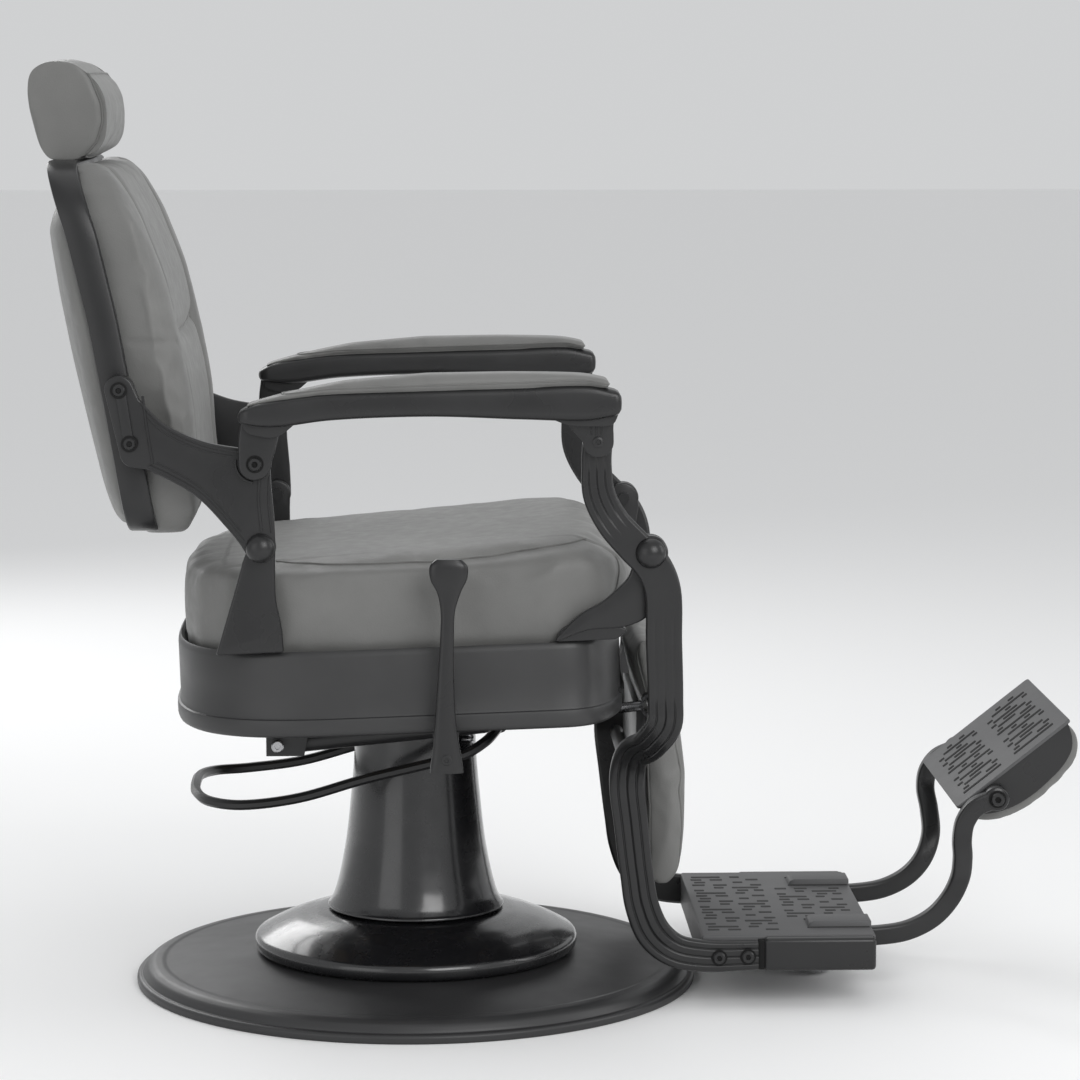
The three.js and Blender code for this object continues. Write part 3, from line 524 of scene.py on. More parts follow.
def inflate(obj, cap, pressure):
    """Lets internal air swell the cover. No point moves further than cap millimetres."""
    scene = bpy.context.scene
    start = places(obj.data)
    cloth = obj.modifiers.new("cloth", "CLOTH")
    settings = cloth.settings
    settings.quality = 4
    settings.mass = 0.4
    settings.use_pressure = True
    settings.uniform_pressure_force = pressure
    settings.tension_stiffness = CLOTH_STIFFNESS
    settings.compression_stiffness = CLOTH_STIFFNESS
    settings.shear_stiffness = CLOTH_STIFFNESS / 2
    settings.effector_weights.gravity = 0
    cloth.point_cache.frame_start = 1
    cloth.point_cache.frame_end = CLOTH_FRAMES
    for number in range(1, CLOTH_FRAMES + 1):
        scene.frame_set(number)
    apply_modifiers(obj)
    scene.frame_set(1)
    moved = places(obj.data) - start
    length = np.linalg.norm(moved, axis=1, keepdims=True)
    limit = cap * MM
    moved *= np.minimum(1, limit * np.tanh(length / limit) / np.maximum(length, 1e-9))
    move_to(obj, start + moved)


def relax(obj, factor, repeat):
    smooth = obj.modifiers.new("relax", "SMOOTH")
    smooth.factor = factor
    smooth.iterations = repeat
    apply_modifiers(obj)


def cushion(
    name, node, body, shrink, cap, pressure=4, voxel=6, fill=0.85, shape=None, soften=8, fit=None,
):
    """A stuffed piece in the place of a CAD solid.

    fit is the (low, high) box in chair millimetres that it fills, None for the solid's own box, or False.
    shape(p) may move each place after that, in chair millimetres.
    """
    obj = soft_start(name, node, shrink, voxel)
    relax(obj, 0.5, soften)
    inflate(obj, cap, pressure)
    relax(obj, 0.5, 3)
    subdivide = obj.modifiers.new("fine", "SUBSURF")
    subdivide.levels = subdivide.render_levels = 1
    apply_modifiers(obj)
    rows = chair_places(obj.data)
    if fit is not False:
        low, high = (np.array(corner) for corner in fit or chair_box(node))
        rows = low + (rows - rows.min(axis=0)) * (high - low) / np.ptp(rows, axis=0)
    if shape:
        rows = np.array([shape(Vector(p)) for p in rows])
    move_to(obj, np.column_stack([rows[:, 1], -rows[:, 0], rows[:, 2]]) * MM)
    mesh = obj.data
    bpy.data.objects.remove(obj)
    obj = dress(name, mesh, LEATHER, body, [node], 180)
    return obj


def contour(obj, level, keep=None):
    """The lines on a mesh where level(place) is zero, as chains of places in chair millimetres."""
    chair = chair_places(obj.data)
    values = np.array([level(p) for p in chair])
    links, points = {}, {}
    for polygon in obj.data.polygons:
        ids = list(polygon.vertices)
        hits = []
        for a, b in zip(ids, ids[1:] + ids[:1]):
            if (values[a] < 0) != (values[b] < 0):
                key = (min(a, b), max(a, b))
                t = values[key[0]] / (values[key[0]] - values[key[1]])
                points[key] = chair[key[0]] * (1 - t) + chair[key[1]] * t
                hits.append(key)
        if len(hits) == 2 and (keep is None or all(keep(points[h]) for h in hits)):
            for first, second in (hits, hits[::-1]):
                links.setdefault(first, []).append(second)
    chains = []
    unused = set(links)
    while unused:
        ends = [k for k in unused if len(links[k]) == 1]
        chain = [ends[0] if ends else next(iter(sorted(unused)))]
        unused.discard(chain[0])
        while True:
            onward = [k for k in links[chain[-1]] if k in unused]
            if not onward:
                break
            chain.append(onward[0])
            unused.discard(onward[0])
        looped = len(chain) > 3 and chain[0] in links[chain[-1]]
        chains.append(([points[k] for k in chain], looped))
    return chains


def evened(chain, looped, spacing):
    """A chain of places at even spacing, smoothed a little."""
    rows = np.array(chain)
    if looped:
        rows = np.vstack([rows, rows[:1]])
    for _ in range(6):
        inner = (rows[:-2] + 2 * rows[1:-1] + rows[2:]) / 4
        rows[1:-1] = inner
    run = np.concatenate([[0], np.cumsum(np.linalg.norm(np.diff(rows, axis=0), axis=1))])
    count = max(4, int(run[-1] / spacing))
    marks = np.linspace(0, run[-1], count + 1)
    out = np.column_stack([np.interp(marks, run, rows[:, k]) for k in range(3)])
    return out[:-1] if looped else out


def press(obj, level, depth, width, keep=None):
    """A seam's valley: the surface sinks near level zero."""
    chair = chair_places(obj.data)
    normals = np.array([v.normal[:] for v in obj.data.vertices])
    values = np.array([level(p) for p in chair])
    sink = depth * np.exp(-((values / width) ** 2))
    if keep:
        sink *= np.array([1.0 if keep(p) else 0.0 for p in chair])
    move_to(obj, places(obj.data) - normals * (sink * MM)[:, None])


def piping(name, obj, body, level, radius, keep=None, shortest=60):
    """A welt sewn along the line where level is zero."""
    bm = bmesh.new()
    for chain, looped in contour(obj, level, keep):
        rows = evened(chain, looped, WELT_STEP)
        if len(rows) * WELT_STEP >= shortest:
            welt(rows, radius, looped, bm)
    return piece(name, bm, PIPING, body, smooth_angle=180)


# ---------------------------------------------------------------- pedestal
def pedestal():
    corner = chair_box("base_plate")[1]
    radius, top = corner.x, corner.z
    foot = [(0, 0.3), (298, 0.3), (298, 3), (radius - 5, 3), (radius - 5, 0), (radius, 0), (radius, 8)]
    rim = [(3, 10.5), (7, 10.5), (8, 13), (12, 19), (20, 23.5), (30, 24.6), (34, 24), (70, 27.5)]
    profile = foot + [(radius - inset, z) for inset, z in rim] + [(190, top - 1), (180, top), (0, top)]
    skin("base_plate", turned(profile, 3, 160), BASE_PAINT, "base")
    refine("base_gasket", "base", RUBBER, 0.4)

    low, high = chair_box("pump_flange")
    rim = high.x
    profile = [
        (90, 80), (150, 66), (176, 50), (180, low.z), (rim - 6, low.z), (rim - 1.5, 39), (rim, 44),
        (rim, 50), (rim - 3, 54.5), (171, 63.5), (156, 70), (140, 75.5), (116, 82), (90, 85.8), (90, 80),
    ]
    skin("pump_flange", turned(profile, 5, 160), GLOSS, "base")

    top = chair_box("column_cover")[1].z
    flare = [
        (90, 86.5), (104, 86.5), (104, 89), (102, 91), (97, 99), (92, 115), (86.5, 140), (82, 165),
        (79, 190), (76.5, 215), (74, 240), (72, 265), (70.5, top - 1), (69.5, top),
    ]
    bore = [(66.5, top), (66, 265), (74, 165), (80, 125), (90, 86.5)]
    skin("column_cover", turned(flare + bore, 8, 128), GLOSS, "base")
    refine("lift_cylinder", "base", SATIN, 0.8)
    refine("lift_ram", "ram", CHROME, 0.6)
    refine("swivel_bearing", "ram", STEEL, 0.4)


# ---------------------------------------------------------------- seat
SHELL_TILT = math.radians(2)
SHELL_TOP = 433
SHELL_ENDS = ((150, 86, 1), (-60, 215, -1))
SHELL_HALF = 266
SHELL_STEPS = 18
BOARD_SHARE = 0.97  # keeps the hidden board's edge inside the soft cover


def shell_loop(inset, height):
    """The seat's outline from above, inset by so much, at a height from the shell's top, tilted."""
    quarter = []
    for start, reach, direction in SHELL_ENDS:
        side = []
        for angle in np.linspace(0, math.pi / 2, SHELL_STEPS + 1):
            along = max(reach - inset, 1) * max(0, math.cos(angle)) ** (2 / 3)
            side.append((start + direction * along, (SHELL_HALF - inset) * math.sin(angle) ** (2 / 3)))
        quarter.append(side)
    half = quarter[0] + quarter[1][::-1]
    plan = half + [(x, -y) for x, y in half[-2:0:-1]]
    c, s = math.cos(SHELL_TILT), math.sin(SHELL_TILT)
    return [(x * c - height * s, y, SHELL_TOP + x * s + height * c) for x, y in plan]


def seat_shell():
    wall = [
        (7, -3), (3.5, -0.3), (1.2, -2.5), (0, -8), (0, -40), (0, -73), (-1, -75.2), (-3.4, -76.2),
        (-4, -78.5), (-4, -90), (-2.6, -94), (0.5, -96), (5, -96), (7, -94), (7, -50),
    ]
    bm = bmesh.new()
    loops_to_mesh(bm, [shell_loop(inset, height) for inset, height in wall], closed_around=True)
    shell = skin("seat_shell", bm, SHELL_LIGHTENED_PAINT, "seat", 50)
    carve(shell, (200, -STRUT_SIDE - 12, 300), (245, -STRUT_SIDE + 12, 371))
    board = refine("seat_board", "seat", PLYWOOD, 0.5)
    rows = places(board.data)
    middle = (rows.min(axis=0) + rows.max(axis=0)) / 2
    rows[:, :2] = middle[:2] + (rows[:, :2] - middle[:2]) * BOARD_SHARE
    move_to(board, rows)
    refine("seat_frame", "seat", SATIN, 1.0)
    refine("swivel_hub", "seat", SATIN, 1.0)


SEAT_PANEL = [
    (-420, 300), (-420, 519), (-236, 520), (-100, 521), (17, 525), (90, 531), (150, 541), (190, 545),
    (212, 542), (225, 530), (230, 512), (226, 492), (214, 474), (190, 457), (160, 440), (140, 300),
]


def panel_distance(outline, x, z):
    """Distance from an outline in the side view: positive outside it."""
    nearest, inside = 1e9, False
    for (x0, z0), (x1, z1) in zip(outline, outline[1:] + outline[:1]):
        dx, dz = x1 - x0, z1 - z0
        t = min(1, max(0, ((x - x0) * dx + (z - z0) * dz) / (dx * dx + dz * dz)))
        nearest = min(nearest, math.hypot(x - x0 - t * dx, z - z0 - t * dz))
        if (z0 > z) != (z1 > z) and x < x0 + (z - z0) * dx / dz:
            inside = not inside
    return -nearest if inside else nearest


def seat_seam(p):
    return panel_distance(SEAT_PANEL, p[0], p[2])


def seat_foot(x):
    """Height of the shell's top edge."""
    return SHELL_TOP + x * math.tan(SHELL_TILT)


def shell_reach(x, y):
    """1 on the shell's outline from above, less inside it."""
    start, reach, direction = SHELL_ENDS[0] if x > 0 else SHELL_ENDS[1]
    beyond = max(0.0, (x - start) * direction) / reach
    return (beyond**3 + (abs(y) / SHELL_HALF) ** 3) ** (1 / 3)


def eased(value, start, end):
    t = min(1.0, max(0.0, (value - start) / (end - start)))
    return t * t * (3 - 2 * t)


def seat_shape(p):
    """Crowns the top panel and draws the cover down over the board's edge to the shell."""
    inward = max(0.0, 1 - (p.y / 235) ** 2) * max(0.0, 1 - ((p.x - 5) / 262) ** 4)
    rise = eased(p.z, 500, 548)
    above = p.z - seat_foot(p.x)
    drop = 36 * (1 - eased(above, 10, 90)) * eased(shell_reach(p.x, p.y), 0.82, 0.91)
    tucked = (1 - eased(above - drop, -2, 8)) * max(0.0, 1 - 0.95 / max(shell_reach(p.x, p.y), 0.01))
    middle = min(150, max(-60, p.x))
    return (p.x - (p.x - middle) * tucked, p.y * (1 - tucked), p.z + (2 * inward - 11) * rise - drop)


def seat_cushion():
    low, high = chair_box("seat_cushion")
    fit = ((low.x - 4, low.y - 6, low.z), (high.x + 4, high.y + 6, high.z))
    obj = cushion("seat_cushion_cover", "seat_cushion", "seat", 3, 9, shape=seat_shape, fit=fit)
    on_side = lambda p: abs(p[1]) > 190 or p[0] < -215 or (p[0] > 200 and p[2] < 500 and abs(p[1]) > 120)
    press(obj, seat_seam, 2.4, 5, on_side)
    piping("seat_piping", obj, "seat", seat_seam, 1.5, on_side)


# ---------------------------------------------------------------- back
BAND_REAR = [(-406, 968), (-380, 888), (-358, 798), (-337, 680), (-317, 558)]
BAND_FRONT = [(-373, 968), (-347, 890), (-326, 800), (-304, 680), (-284, 558)]
BAND_LOW, BAND_HIGH = 558, 968
BAND_HALF = 255
BAND_MIDDLE = 766
BAND_RISE = 202
WEB_SHARE = 0.94


def back_x(line, z):
    """Forward place of a line of the back at a height."""
    heights = [p[1] for p in line][::-1]
    return float(np.interp(z, heights, [p[0] for p in line][::-1]))


def back_loop(place):
    """The back's outline seen from the front, at a forward place given by place(z)."""
    low, high, half = BAND_LOW, BAND_HIGH, BAND_HALF
    outline = fillet([(half, low), (half, high), (-half, high), (-half, low)], [52, 88, 88, 52], 14)
    dense = []
    for (y0, z0), (y1, z1) in zip(outline, outline[1:] + outline[:1]):
        steps = max(1, int(math.hypot(y1 - y0, z1 - z0) / 18))
        dense += [(y0 + (y1 - y0) * k / steps, z0 + (z1 - z0) * k / steps) for k in range(steps)]
    return [(place(z), y, z) for y, z in dense]


def back_frame():
    rear = lambda z: back_x(BAND_REAR, z)
    front = lambda z: back_x(BAND_FRONT, z)
    ring = [
        (0, rear, 3), (0, front, -3), (1, front, -0.8), (3, front, 0),
        (16, front, 0), (16, rear, 0), (3, rear, 0), (1, rear, 0.8),
    ]
    base = back_loop(rear)
    loops = []
    for inset, place, ahead in ring:
        wide, tall = (BAND_HALF - inset) / BAND_HALF, (BAND_RISE - inset) / BAND_RISE
        heights = [BAND_MIDDLE + (z - BAND_MIDDLE) * tall for _, _, z in base]
        loops.append([(place(z) + ahead, y * wide, z) for (_, y, _), z in zip(base, heights)])
    bm = bmesh.new()
    loops_to_mesh(bm, loops, closed_around=True)
    piece("back_band", bm, SATIN, "back", ["back_frame"], 40)
    inner = [(y * WEB_SHARE, BAND_MIDDLE + (z - BAND_MIDDLE) * WEB_SHARE) for _, y, z in base]
    bm = bmesh.new()
    loops_to_mesh(bm, [[(rear(z) + ahead, y, z) for y, z in inner] for ahead in (3, 8)])
    piece("back_web", bm, SATIN, "back")
    refine("headrest_guide", "back", STEEL, 0.5)
    refine("headrest_bar", "headrest", STEEL, 0.5)


SEAM_HEIGHT = 772
BOLSTER = 168


def in_front(p):
    return p[0] > back_x(BAND_FRONT, p[2]) + 22


def back_shape(p):
    """Sets the panel down on its frame, draws it in at the seams and swells the side bolsters."""
    depth = p.x - back_x(BAND_FRONT, p.z)
    if depth < 32:
        return (p.x - 15 * (1 - eased(depth, 0, 32)), p.y, p.z)
    share = min(1.0, (depth - 32) / 30)
    side = abs(p.y)
    bolster = math.exp(-(((side - 205) / 34) ** 2))
    panel = -4 * math.exp(-(((p.z - SEAM_HEIGHT) / 30) ** 2)) * (1 if side < BOLSTER else 0.3)
    thinning = 12 - 8 * (1 - eased(p.z, 570, 650))
    return (p.x + share * (2 * bolster + panel - thinning), p.y, p.z)


def rear_shape(p):
    """Crowns the rear panel across its width and sets its rim against the frame."""
    rear = back_x(BAND_REAR, p.z)
    depth = rear - p.x
    if depth < 0:
        return (p.x + 10, p.y, p.z)
    crown = 0.84 * (1 - 0.72 * (p.y / 250) ** 2) * (1 - 0.85 * eased(p.z, 885, 945))
    return (rear - depth * crown + 10 * (1 - eased(depth * crown, 0, 16)), p.y, p.z)


def back_cushions():
    low, high = chair_box("back_cushion")
    fit = ((low.x, low.y, low.z - 20), (high.x - 2, high.y, high.z + 7))
    look = {"cap": 10, "soften": 14, "shape": back_shape, "fit": fit}
    obj = cushion("back_cushion_cover", "back_cushion", "back", 3, **look)
    bolster_seam = lambda p: abs(p[1]) - BOLSTER + 12 * ((p[2] - 760) / 200) ** 2
    cross_seam = lambda p: p[2] - SEAM_HEIGHT - 6 * (abs(p[1]) / BOLSTER) ** 2
    between = lambda p: in_front(p) and abs(p[1]) < BOLSTER
    press(obj, bolster_seam, 6, 9, in_front)
    press(obj, cross_seam, 5, 9, between)
    piping("back_piping", obj, "back", bolster_seam, 1.5, in_front)
    piping("back_cross_piping", obj, "back", cross_seam, 1.3, between)
    on_side = lambda p: abs(p[1]) > 215 and p[0] > back_x(BAND_FRONT, p[2]) + 8
    press(obj, lambda p: p[2] - 770, 1.6, 4, on_side)

    low, high = chair_box("back_rear_panel")
    fit = ((low.x, low.y, low.z - 8), high)
    look = {"cap": 7, "soften": 14, "fill": 0.7, "shape": rear_shape, "fit": fit}
    rear = cushion("back_rear_cover", "back_rear_panel", "back", 2, **look)
    rim = lambda p: abs(p[1]) - 205 + 14 * ((p[2] - 760) / 190) ** 4
    press(rear, rim, 2, 7, lambda p: p[0] < back_x(BAND_REAR, p[2]) - 25)


# The headrest's sides are flattened beyond this share of its half width.
HEADREST_FLAT = 0.94
HEADREST_SEAM = [(966, -373), (988, -354), (1010, -347), (1030, -348), (1060, -360), (1090, -385)]


def headrest():
    low, high = chair_box("headrest_cushion")
    half = high.y

    def shape(p):
        """Flat side panels with crisp edges."""
        share = 1.12 * abs(p.y) / half
        edge = 1 - HEADREST_FLAT
        if share > HEADREST_FLAT:
            share = HEADREST_FLAT + edge * (1 - math.exp((HEADREST_FLAT - share) / edge))
        return (p.x, math.copysign(share * half, p.y), p.z)

    fit = ((low.x + 5, low.y, low.z - 4), (high.x - 7, high.y, high.z - 2))
    look = {"cap": 4, "pressure": 3, "voxel": 4, "soften": 2, "shape": shape, "fit": fit}
    obj = cushion("headrest_cover", "headrest_cushion", "headrest", 1.5, **look)
    heights, lines = zip(*HEADREST_SEAM)
    front = lambda p: p[0] - float(np.interp(p[2], heights, lines))
    press(obj, front, 2.2, 4)
    piping("headrest_piping", obj, "headrest", front, 1.5)


# ---------------------------------------------------------------- side linkage
def side_line(points, count=24):
    """A smooth line through (forward, up) places."""
    return [(p[0], p[2]) for p in spline([(x, 0, z) for x, z in points], count)]


def bead(line, lateral, radius, bm):
    """A raised round bead on a side face, along a line in the side view."""
    rows = [(x, lateral, z) for x, z in line]
    return sweep(rows, lambda _: circle_section(radius, 10), bm=bm)


def upright(side, sign):
    low = chair_box(f"rear_upright_{side}")[0]
    front = side_line([(low.x + 76, low.z + 3), (-147, 456), (-153, 487), (-154, 529)], 12)
    rear = side_line([(-190, 529), (-198, 500), (-209, 463), (low.x + 1, low.z)], 12)
    outline = front + arc(BACK_PIVOT, 17, -20, 200, 20) + rear
    bm = plate(outline, sign * (INNER[0] + 0.2), sign * INNER[1], 3)
    x0, x1, z0 = low.x + 3, low.x + 75, low.z + 0.4
    for inner, rise, inset in ((236, 9, 0), (246, 20, 4), (254, 40, 9)):
        top = z0 + rise
        foot = [(x0 + inset, z0), (x1 - inset, z0 + 2.4), (x1 - inset - 6, top + 2), (x0 + inset + 8, top)]
        plate(fillet(foot, 5), sign * inner, sign * (INNER[1] - 3), 2, bm)
    skin(f"rear_upright_{side}", bm, CAST, "seat")


def front_horn(side, sign):
    """The curved bracket from the shell up to the leg's pivot."""
    z0 = chair_box(f"front_bracket_{side}")[0].z
    low_bend = [(190, 452), (233, 456), (256, 466), (267, 482), (275, 505), (279, 530)]
    under = side_line([(156, z0)] + low_bend, 28)
    over = side_line([(242, 528), (236, 511), (224, 498), (206, 483), (183, 470), (156, z0 + 5)], 24)
    outline = under + arc(LEG_PIVOT, 19, -15, 195, 20) + over
    bm = plate(outline, sign * (INNER[0] + 0.2), sign * (INNER[1] + 1.2), 4)
    foot = [(156, z0 + 0.4), (224, z0 + 3), (236, z0 + 14), (190, z0 + 30), (160, z0 + 12)]
    plate(fillet(foot, 5), sign * 243, sign * (INNER[1] - 1), 4, bm)
    skin(f"front_bracket_{side}", bm, CAST, "seat")


def ball_cap(name, body, centre, sign, start, radius):
    """A round cap with a small collar, on a pivot's pin."""
    rise = 0.85 * radius - 1.2
    dome = [
        (radius * math.cos(a), start + 1.2 + rise * math.sin(a)) for a in np.linspace(0, math.pi / 2, 14)
    ]
    collar = [(0, 250), (7, 250), (7, start + 0.4), (radius - 1.5, start + 0.4), (radius, start + 1.2)]
    skin(name, lathe(collar + dome[1:], 40, across(centre, sign)), CAST, body)


def socket_screw(centre, sign, start, radius, rise, bm=None):
    """A round head with a hollow socket."""
    profile = [
        (0, start - 3), (radius * 0.5, start - 3), (radius * 0.5, start), (radius, start),
        (radius, start + rise * 0.6), (radius - 1.2, start + rise), (radius * 0.46, start + rise),
        (radius * 0.42, start + rise * 0.3), (0, start + rise * 0.3),
    ]
    return lathe(profile, 36, across(centre, sign), bm)


def painted_shade_rings(name, body, sign, places):
    """Painted shade: near-black rings where screw heads meet the surface, and black discs in their sockets.
    places are (centre, start, head's radius).
    """
    bm = bmesh.new()
    for centre, start, radius in places:
        place = across(centre, sign)
        drum(radius - 0.6, radius + 2.2, start - 1, start + 0.35, 36, place, bm)
        drum(0, radius * 0.4, start, start + 1.6, 6, place, bm)
    piece(name, bm, SHADE_BLACK, body)


BACK_SCREWS = ((-322, 721), (-311, 662.5))


def back_bracket(side, sign):
    """The casting from the back to its pivot and to the arm, and the screws that hold it."""
    face = sign * MIDDLE[1]
    tab = arc(BACK_SCREWS[0], 16, 20, 180, 12) + arc((-306, 652), 16, 180, 250, 8)
    lower = side_line([(-300, 637), (-270, 623), (-239, 604), (-206, 569), (-187, 545)], 20)
    upper = side_line([(-186, 656), (-232, 665), (-276, 686), (-305, 717)], 20)
    front = [(-153, 556), (-154, 580), (-157, 615)]
    pivots = arc(BACK_PIVOT, 17, 205, 350, 14) + front + arc(ARM_PIVOT, 16, 0, 120, 10)
    bm = plate(tab + lower[1:-1] + pivots + upper[:-1], sign * MIDDLE[0], face, 2)
    boss = tab + [(-295, 640), (-298, 700)]
    plate(boss, sign * 255.6, sign * (MIDDLE[0] + 1), 1.5, bm)
    beads = [
        ([(x + 2, z - 4) for x, z in upper[1:-1]], 1.7),
        ([(x + 1, z - 10) for x, z in upper[2:-3]], 1.0),
        ([(x + 3, z + 4) for x, z in lower[1:-1]], 1.8),
        ([(x + 5, z + 10) for x, z in lower[2:-2]], 1.0),
        (side_line([(-170, 622), (-171, 600), (-168, 566)], 14), 1.6),
        (side_line([(-159, 626), (-160, 600), (-157, 564)], 14), 1.2),
        (side_line([(-296, 715), (-292, 680), (-286, 640)], 14), 1.6),
        (arc(ARM_PIVOT, 21.5, 170, 262, 12), 1.7),
    ]
    for line, radius in beads:
        bead(line, face, radius, bm)
    skin(f"back_bracket_{side}", bm, CAST, "back")

    bm = bmesh.new()
    for centre in BACK_SCREWS:
        socket_screw(centre, sign, MIDDLE[1] + 0.4, 7, 4, bm)
    (x1, z1), (x0, z0) = BACK_SCREWS
    strip = fillet([(x0 - 5, z0 - 8), (x0 + 6, z0 - 6), (x1 + 6, z1 + 8), (x1 - 5, z1 + 6)], 5)
    plate(strip, sign * (MIDDLE[1] + 0.5), sign * (MIDDLE[1] + 2.4), 0.6, bm)
    skin(f"back_screw_plate_{side}", bm, SATIN, "back")
    arm_screw(f"arm_rear_bolt_{side}", "back", ARM_PIVOT, sign, 7.5, 4.1)
    rings = [(centre, MIDDLE[1] + 2.4, 7) for centre in BACK_SCREWS] + [(ARM_PIVOT, ARM[1] + 0.4, 7.5)]
    painted_shade_rings(f"back_screw_shade_rings_{side}", "back", sign, rings)


def arm_screw(name, body, centre, sign, radius, rise):
    """A socket screw through the arm into the layer behind it."""
    bm = socket_screw(centre, sign, ARM[1] + 0.4, radius, rise)
    seat, end = MIDDLE[0] - 0.4, ARM[1] + 0.2
    lathe([(0, 264), (8, 264), (8, seat), (5, seat), (5, end), (0, end)], 24, across(centre, sign), bm)
    skin(name, bm, SATIN, body)


ARM_TOP = [
    (-188, 700), (-172, 707), (-150, 712), (-94, 719), (16, 723), (120, 726), (190, 728.5), (214, 723),
]
ARM_UNDER = [
    (-188, 686), (-176, 683), (-150, 682), (-94, 689), (16, 693), (120, 689.5), (190, 688), (214, 692),
]
ARM_MIDDLE = 290


def rail_top(x):
    return float(np.interp(x, *zip(*ARM_TOP)))


def armrest(side, sign):
    """The arm's casting: a rounded rail with a rear leg and a front lug, and its stuffed pad."""
    middle = sign * ARM_MIDDLE
    stations = [
        ((x0 + x1) / 2, middle, (top + under) / 2, (top - under) / 2)
        for (x0, top), (x1, under) in zip(ARM_TOP, ARM_UNDER)
    ]
    rows = [tuple(r) for r in spline(stations, 60)]
    (nose_x, _, nose_z, nose), (tail_x, _, tail_z, tail) = rows[-1], rows[0]
    nose_taper = ((5, 0.93), (9, 0.78), (11.5, 0.5), (12.3, 0.1))
    nose_end = [(nose_x + ahead, middle, nose_z, nose * share) for ahead, share in nose_taper]
    tail_taper = ((4, 0.1), (3.4, 0.5), (2, 0.85))
    tail_end = [(tail_x - behind, middle, tail_z, tail * share) for behind, share in tail_taper]
    rows = tail_end + rows + nose_end
    widths = [22 * (0.35 + 0.65 * min(1, r[3] / 9)) for r in rows]
    bm = sweep([r[:3] for r in rows], lambda i: oblong_section(rows[i][3], widths[i], 5, 36))
    leg = (
        side_line([(-146, 692), (-148, 672), (-152, 655), (-156, 642)], 12)[:-1]
        + arc(ARM_PIVOT, 18, 0, -180, 16)
        + side_line([(-192, 645), (-192, 665), (-189, 690)], 8)[1:]
    )
    web = fillet([(-187, 700), (-187, 676), (-150, 668), (-128, 687), (-120, 700)], [2, 14, 14, 20, 2])
    lug = (
        side_line([(150, 694), (163, 688), (176, 673), (184, 664)], 12)[:-1]
        + arc(ARM_FRONT, 17, 180, 360, 18)
        + side_line([(218, 668), (218, 685), (224, 700)], 8)[1:]
    )
    collar = fillet([(140, 694), (170, 682), (218, 682), (224, 700), (150, 702)], [2, 12, 10, 6, 2])
    plates = ((leg, ARM, 2.5), (web, (279, 301), 4), (lug, ARM, 2.5), (collar, (277, 303), 4))
    for outline, (near, far), edge in plates:
        plate(outline, sign * near, sign * far, edge, bm)
    for offset in (-7, 0, 7):
        x0, x1 = ARM_FRONT[0] - 3 + offset, ARM_FRONT[0] - 2 + offset * 0.8
        bead(side_line([(x0, 686), (x1, 676), (x1, 672)], 6), sign * ARM[1], 0.9, bm)
    body = f"arm_{side}"
    skin(f"armrest_frame_{side}", bm, CAST, body, 60)

    def shape(p):
        """Seats the pad on its rail, tucks its lower edge in and tapers its rear end."""
        above = p.z - rail_top(p.x)
        sink = 2 * (1 - eased(above, 0, 10))
        width = (1 - 0.3 * (1 - eased(p.x, -190, -140))) * (1 - 0.2 * (1 - eased(above, 1, 5)))
        return (p.x, middle + (p.y - middle) * width, p.z - sink)

    node = f"armrest_pad_{side}"
    look = {"cap": 4, "voxel": 4, "fill": 0.9, "soften": 10, "shape": shape}
    obj = cushion(f"{node}_cover", node, body, 1.5, **look)
    edge = lambda p: p[2] - (rail_top(p[0]) + 5)
    piping(f"{node}_piping", obj, body, edge, 1.1, shortest=100)


# ---------------------------------------------------------------- legs and footrest
def leg_stations():
    """Places down the leg's middle: forward, up, half width and place to the side."""
    high, low = 276.5, 179
    return [
        (201, 664, 16.5, high), (200, 638, 16.5, high), (203, 604, 18, high), (218, 574, 18.5, high),
        (241, 548, 19.5, high), (262, 526, 20, high), (273, 500, 20, high), (275, 440, 20, high),
        (277, 376, 19.5, high), (276, 348, 19.5, high), (262, 322, 19, high - 24),
        (244, 298, 19.5, low + 22), (240, 266, 20, low), (245, 215, 19.5, low), (252, 155, 19, low),
        (258, 120, 19.5, low), (272, 88, 20, low), (295, 69, 19, low), (330, 62, 18, low),
        (391, 62.5, 16.5, low),
    ]


LEG_GROOVES = (-0.52, 0.0, 0.52)
LEG_SCREWS = ((346, 61), (379, 62))
# Where the screw heads start, out from the middle.
LEG_SCREW = 185.9
TOE_SCREW = 167.9
STRAP_SIDE = 114


def groove_depth(x, z):
    """The grooves fade out around the knee and are faint on the straight above the bend."""
    if z > 560:
        return 0.7 * min(1.0, (z - 560) / 25) * min(1.0, (650 - z) / 20)
    if z > 395:
        return 0.35 * min(1.0, max(0.0, (475 - z) / 40))
    return 0.35 + 0.65 * min(1.0, (395 - z) / 40) * (0.6 if x > 285 else 1.0)


def leg_section(half, sign, depth):
    """A flat bar with rounded edges and three grooves along its outer face."""
    def reach(share):
        edge = max(0.0, (abs(share) - 0.8) / 0.2)
        return 6.5 * math.sqrt(max(0, 1 - 0.75 * edge**2))

    outer = []
    for share in np.linspace(-1, 1, 49):
        y = reach(share)
        for groove in LEG_GROOVES:
            y -= 1.9 * depth * math.exp(-(((share - groove) / 0.06) ** 2))
        outer.append((share * half, sign * y))
    return outer + [(share * half, -sign * reach(share)) for share in np.linspace(1, -1, 13)]


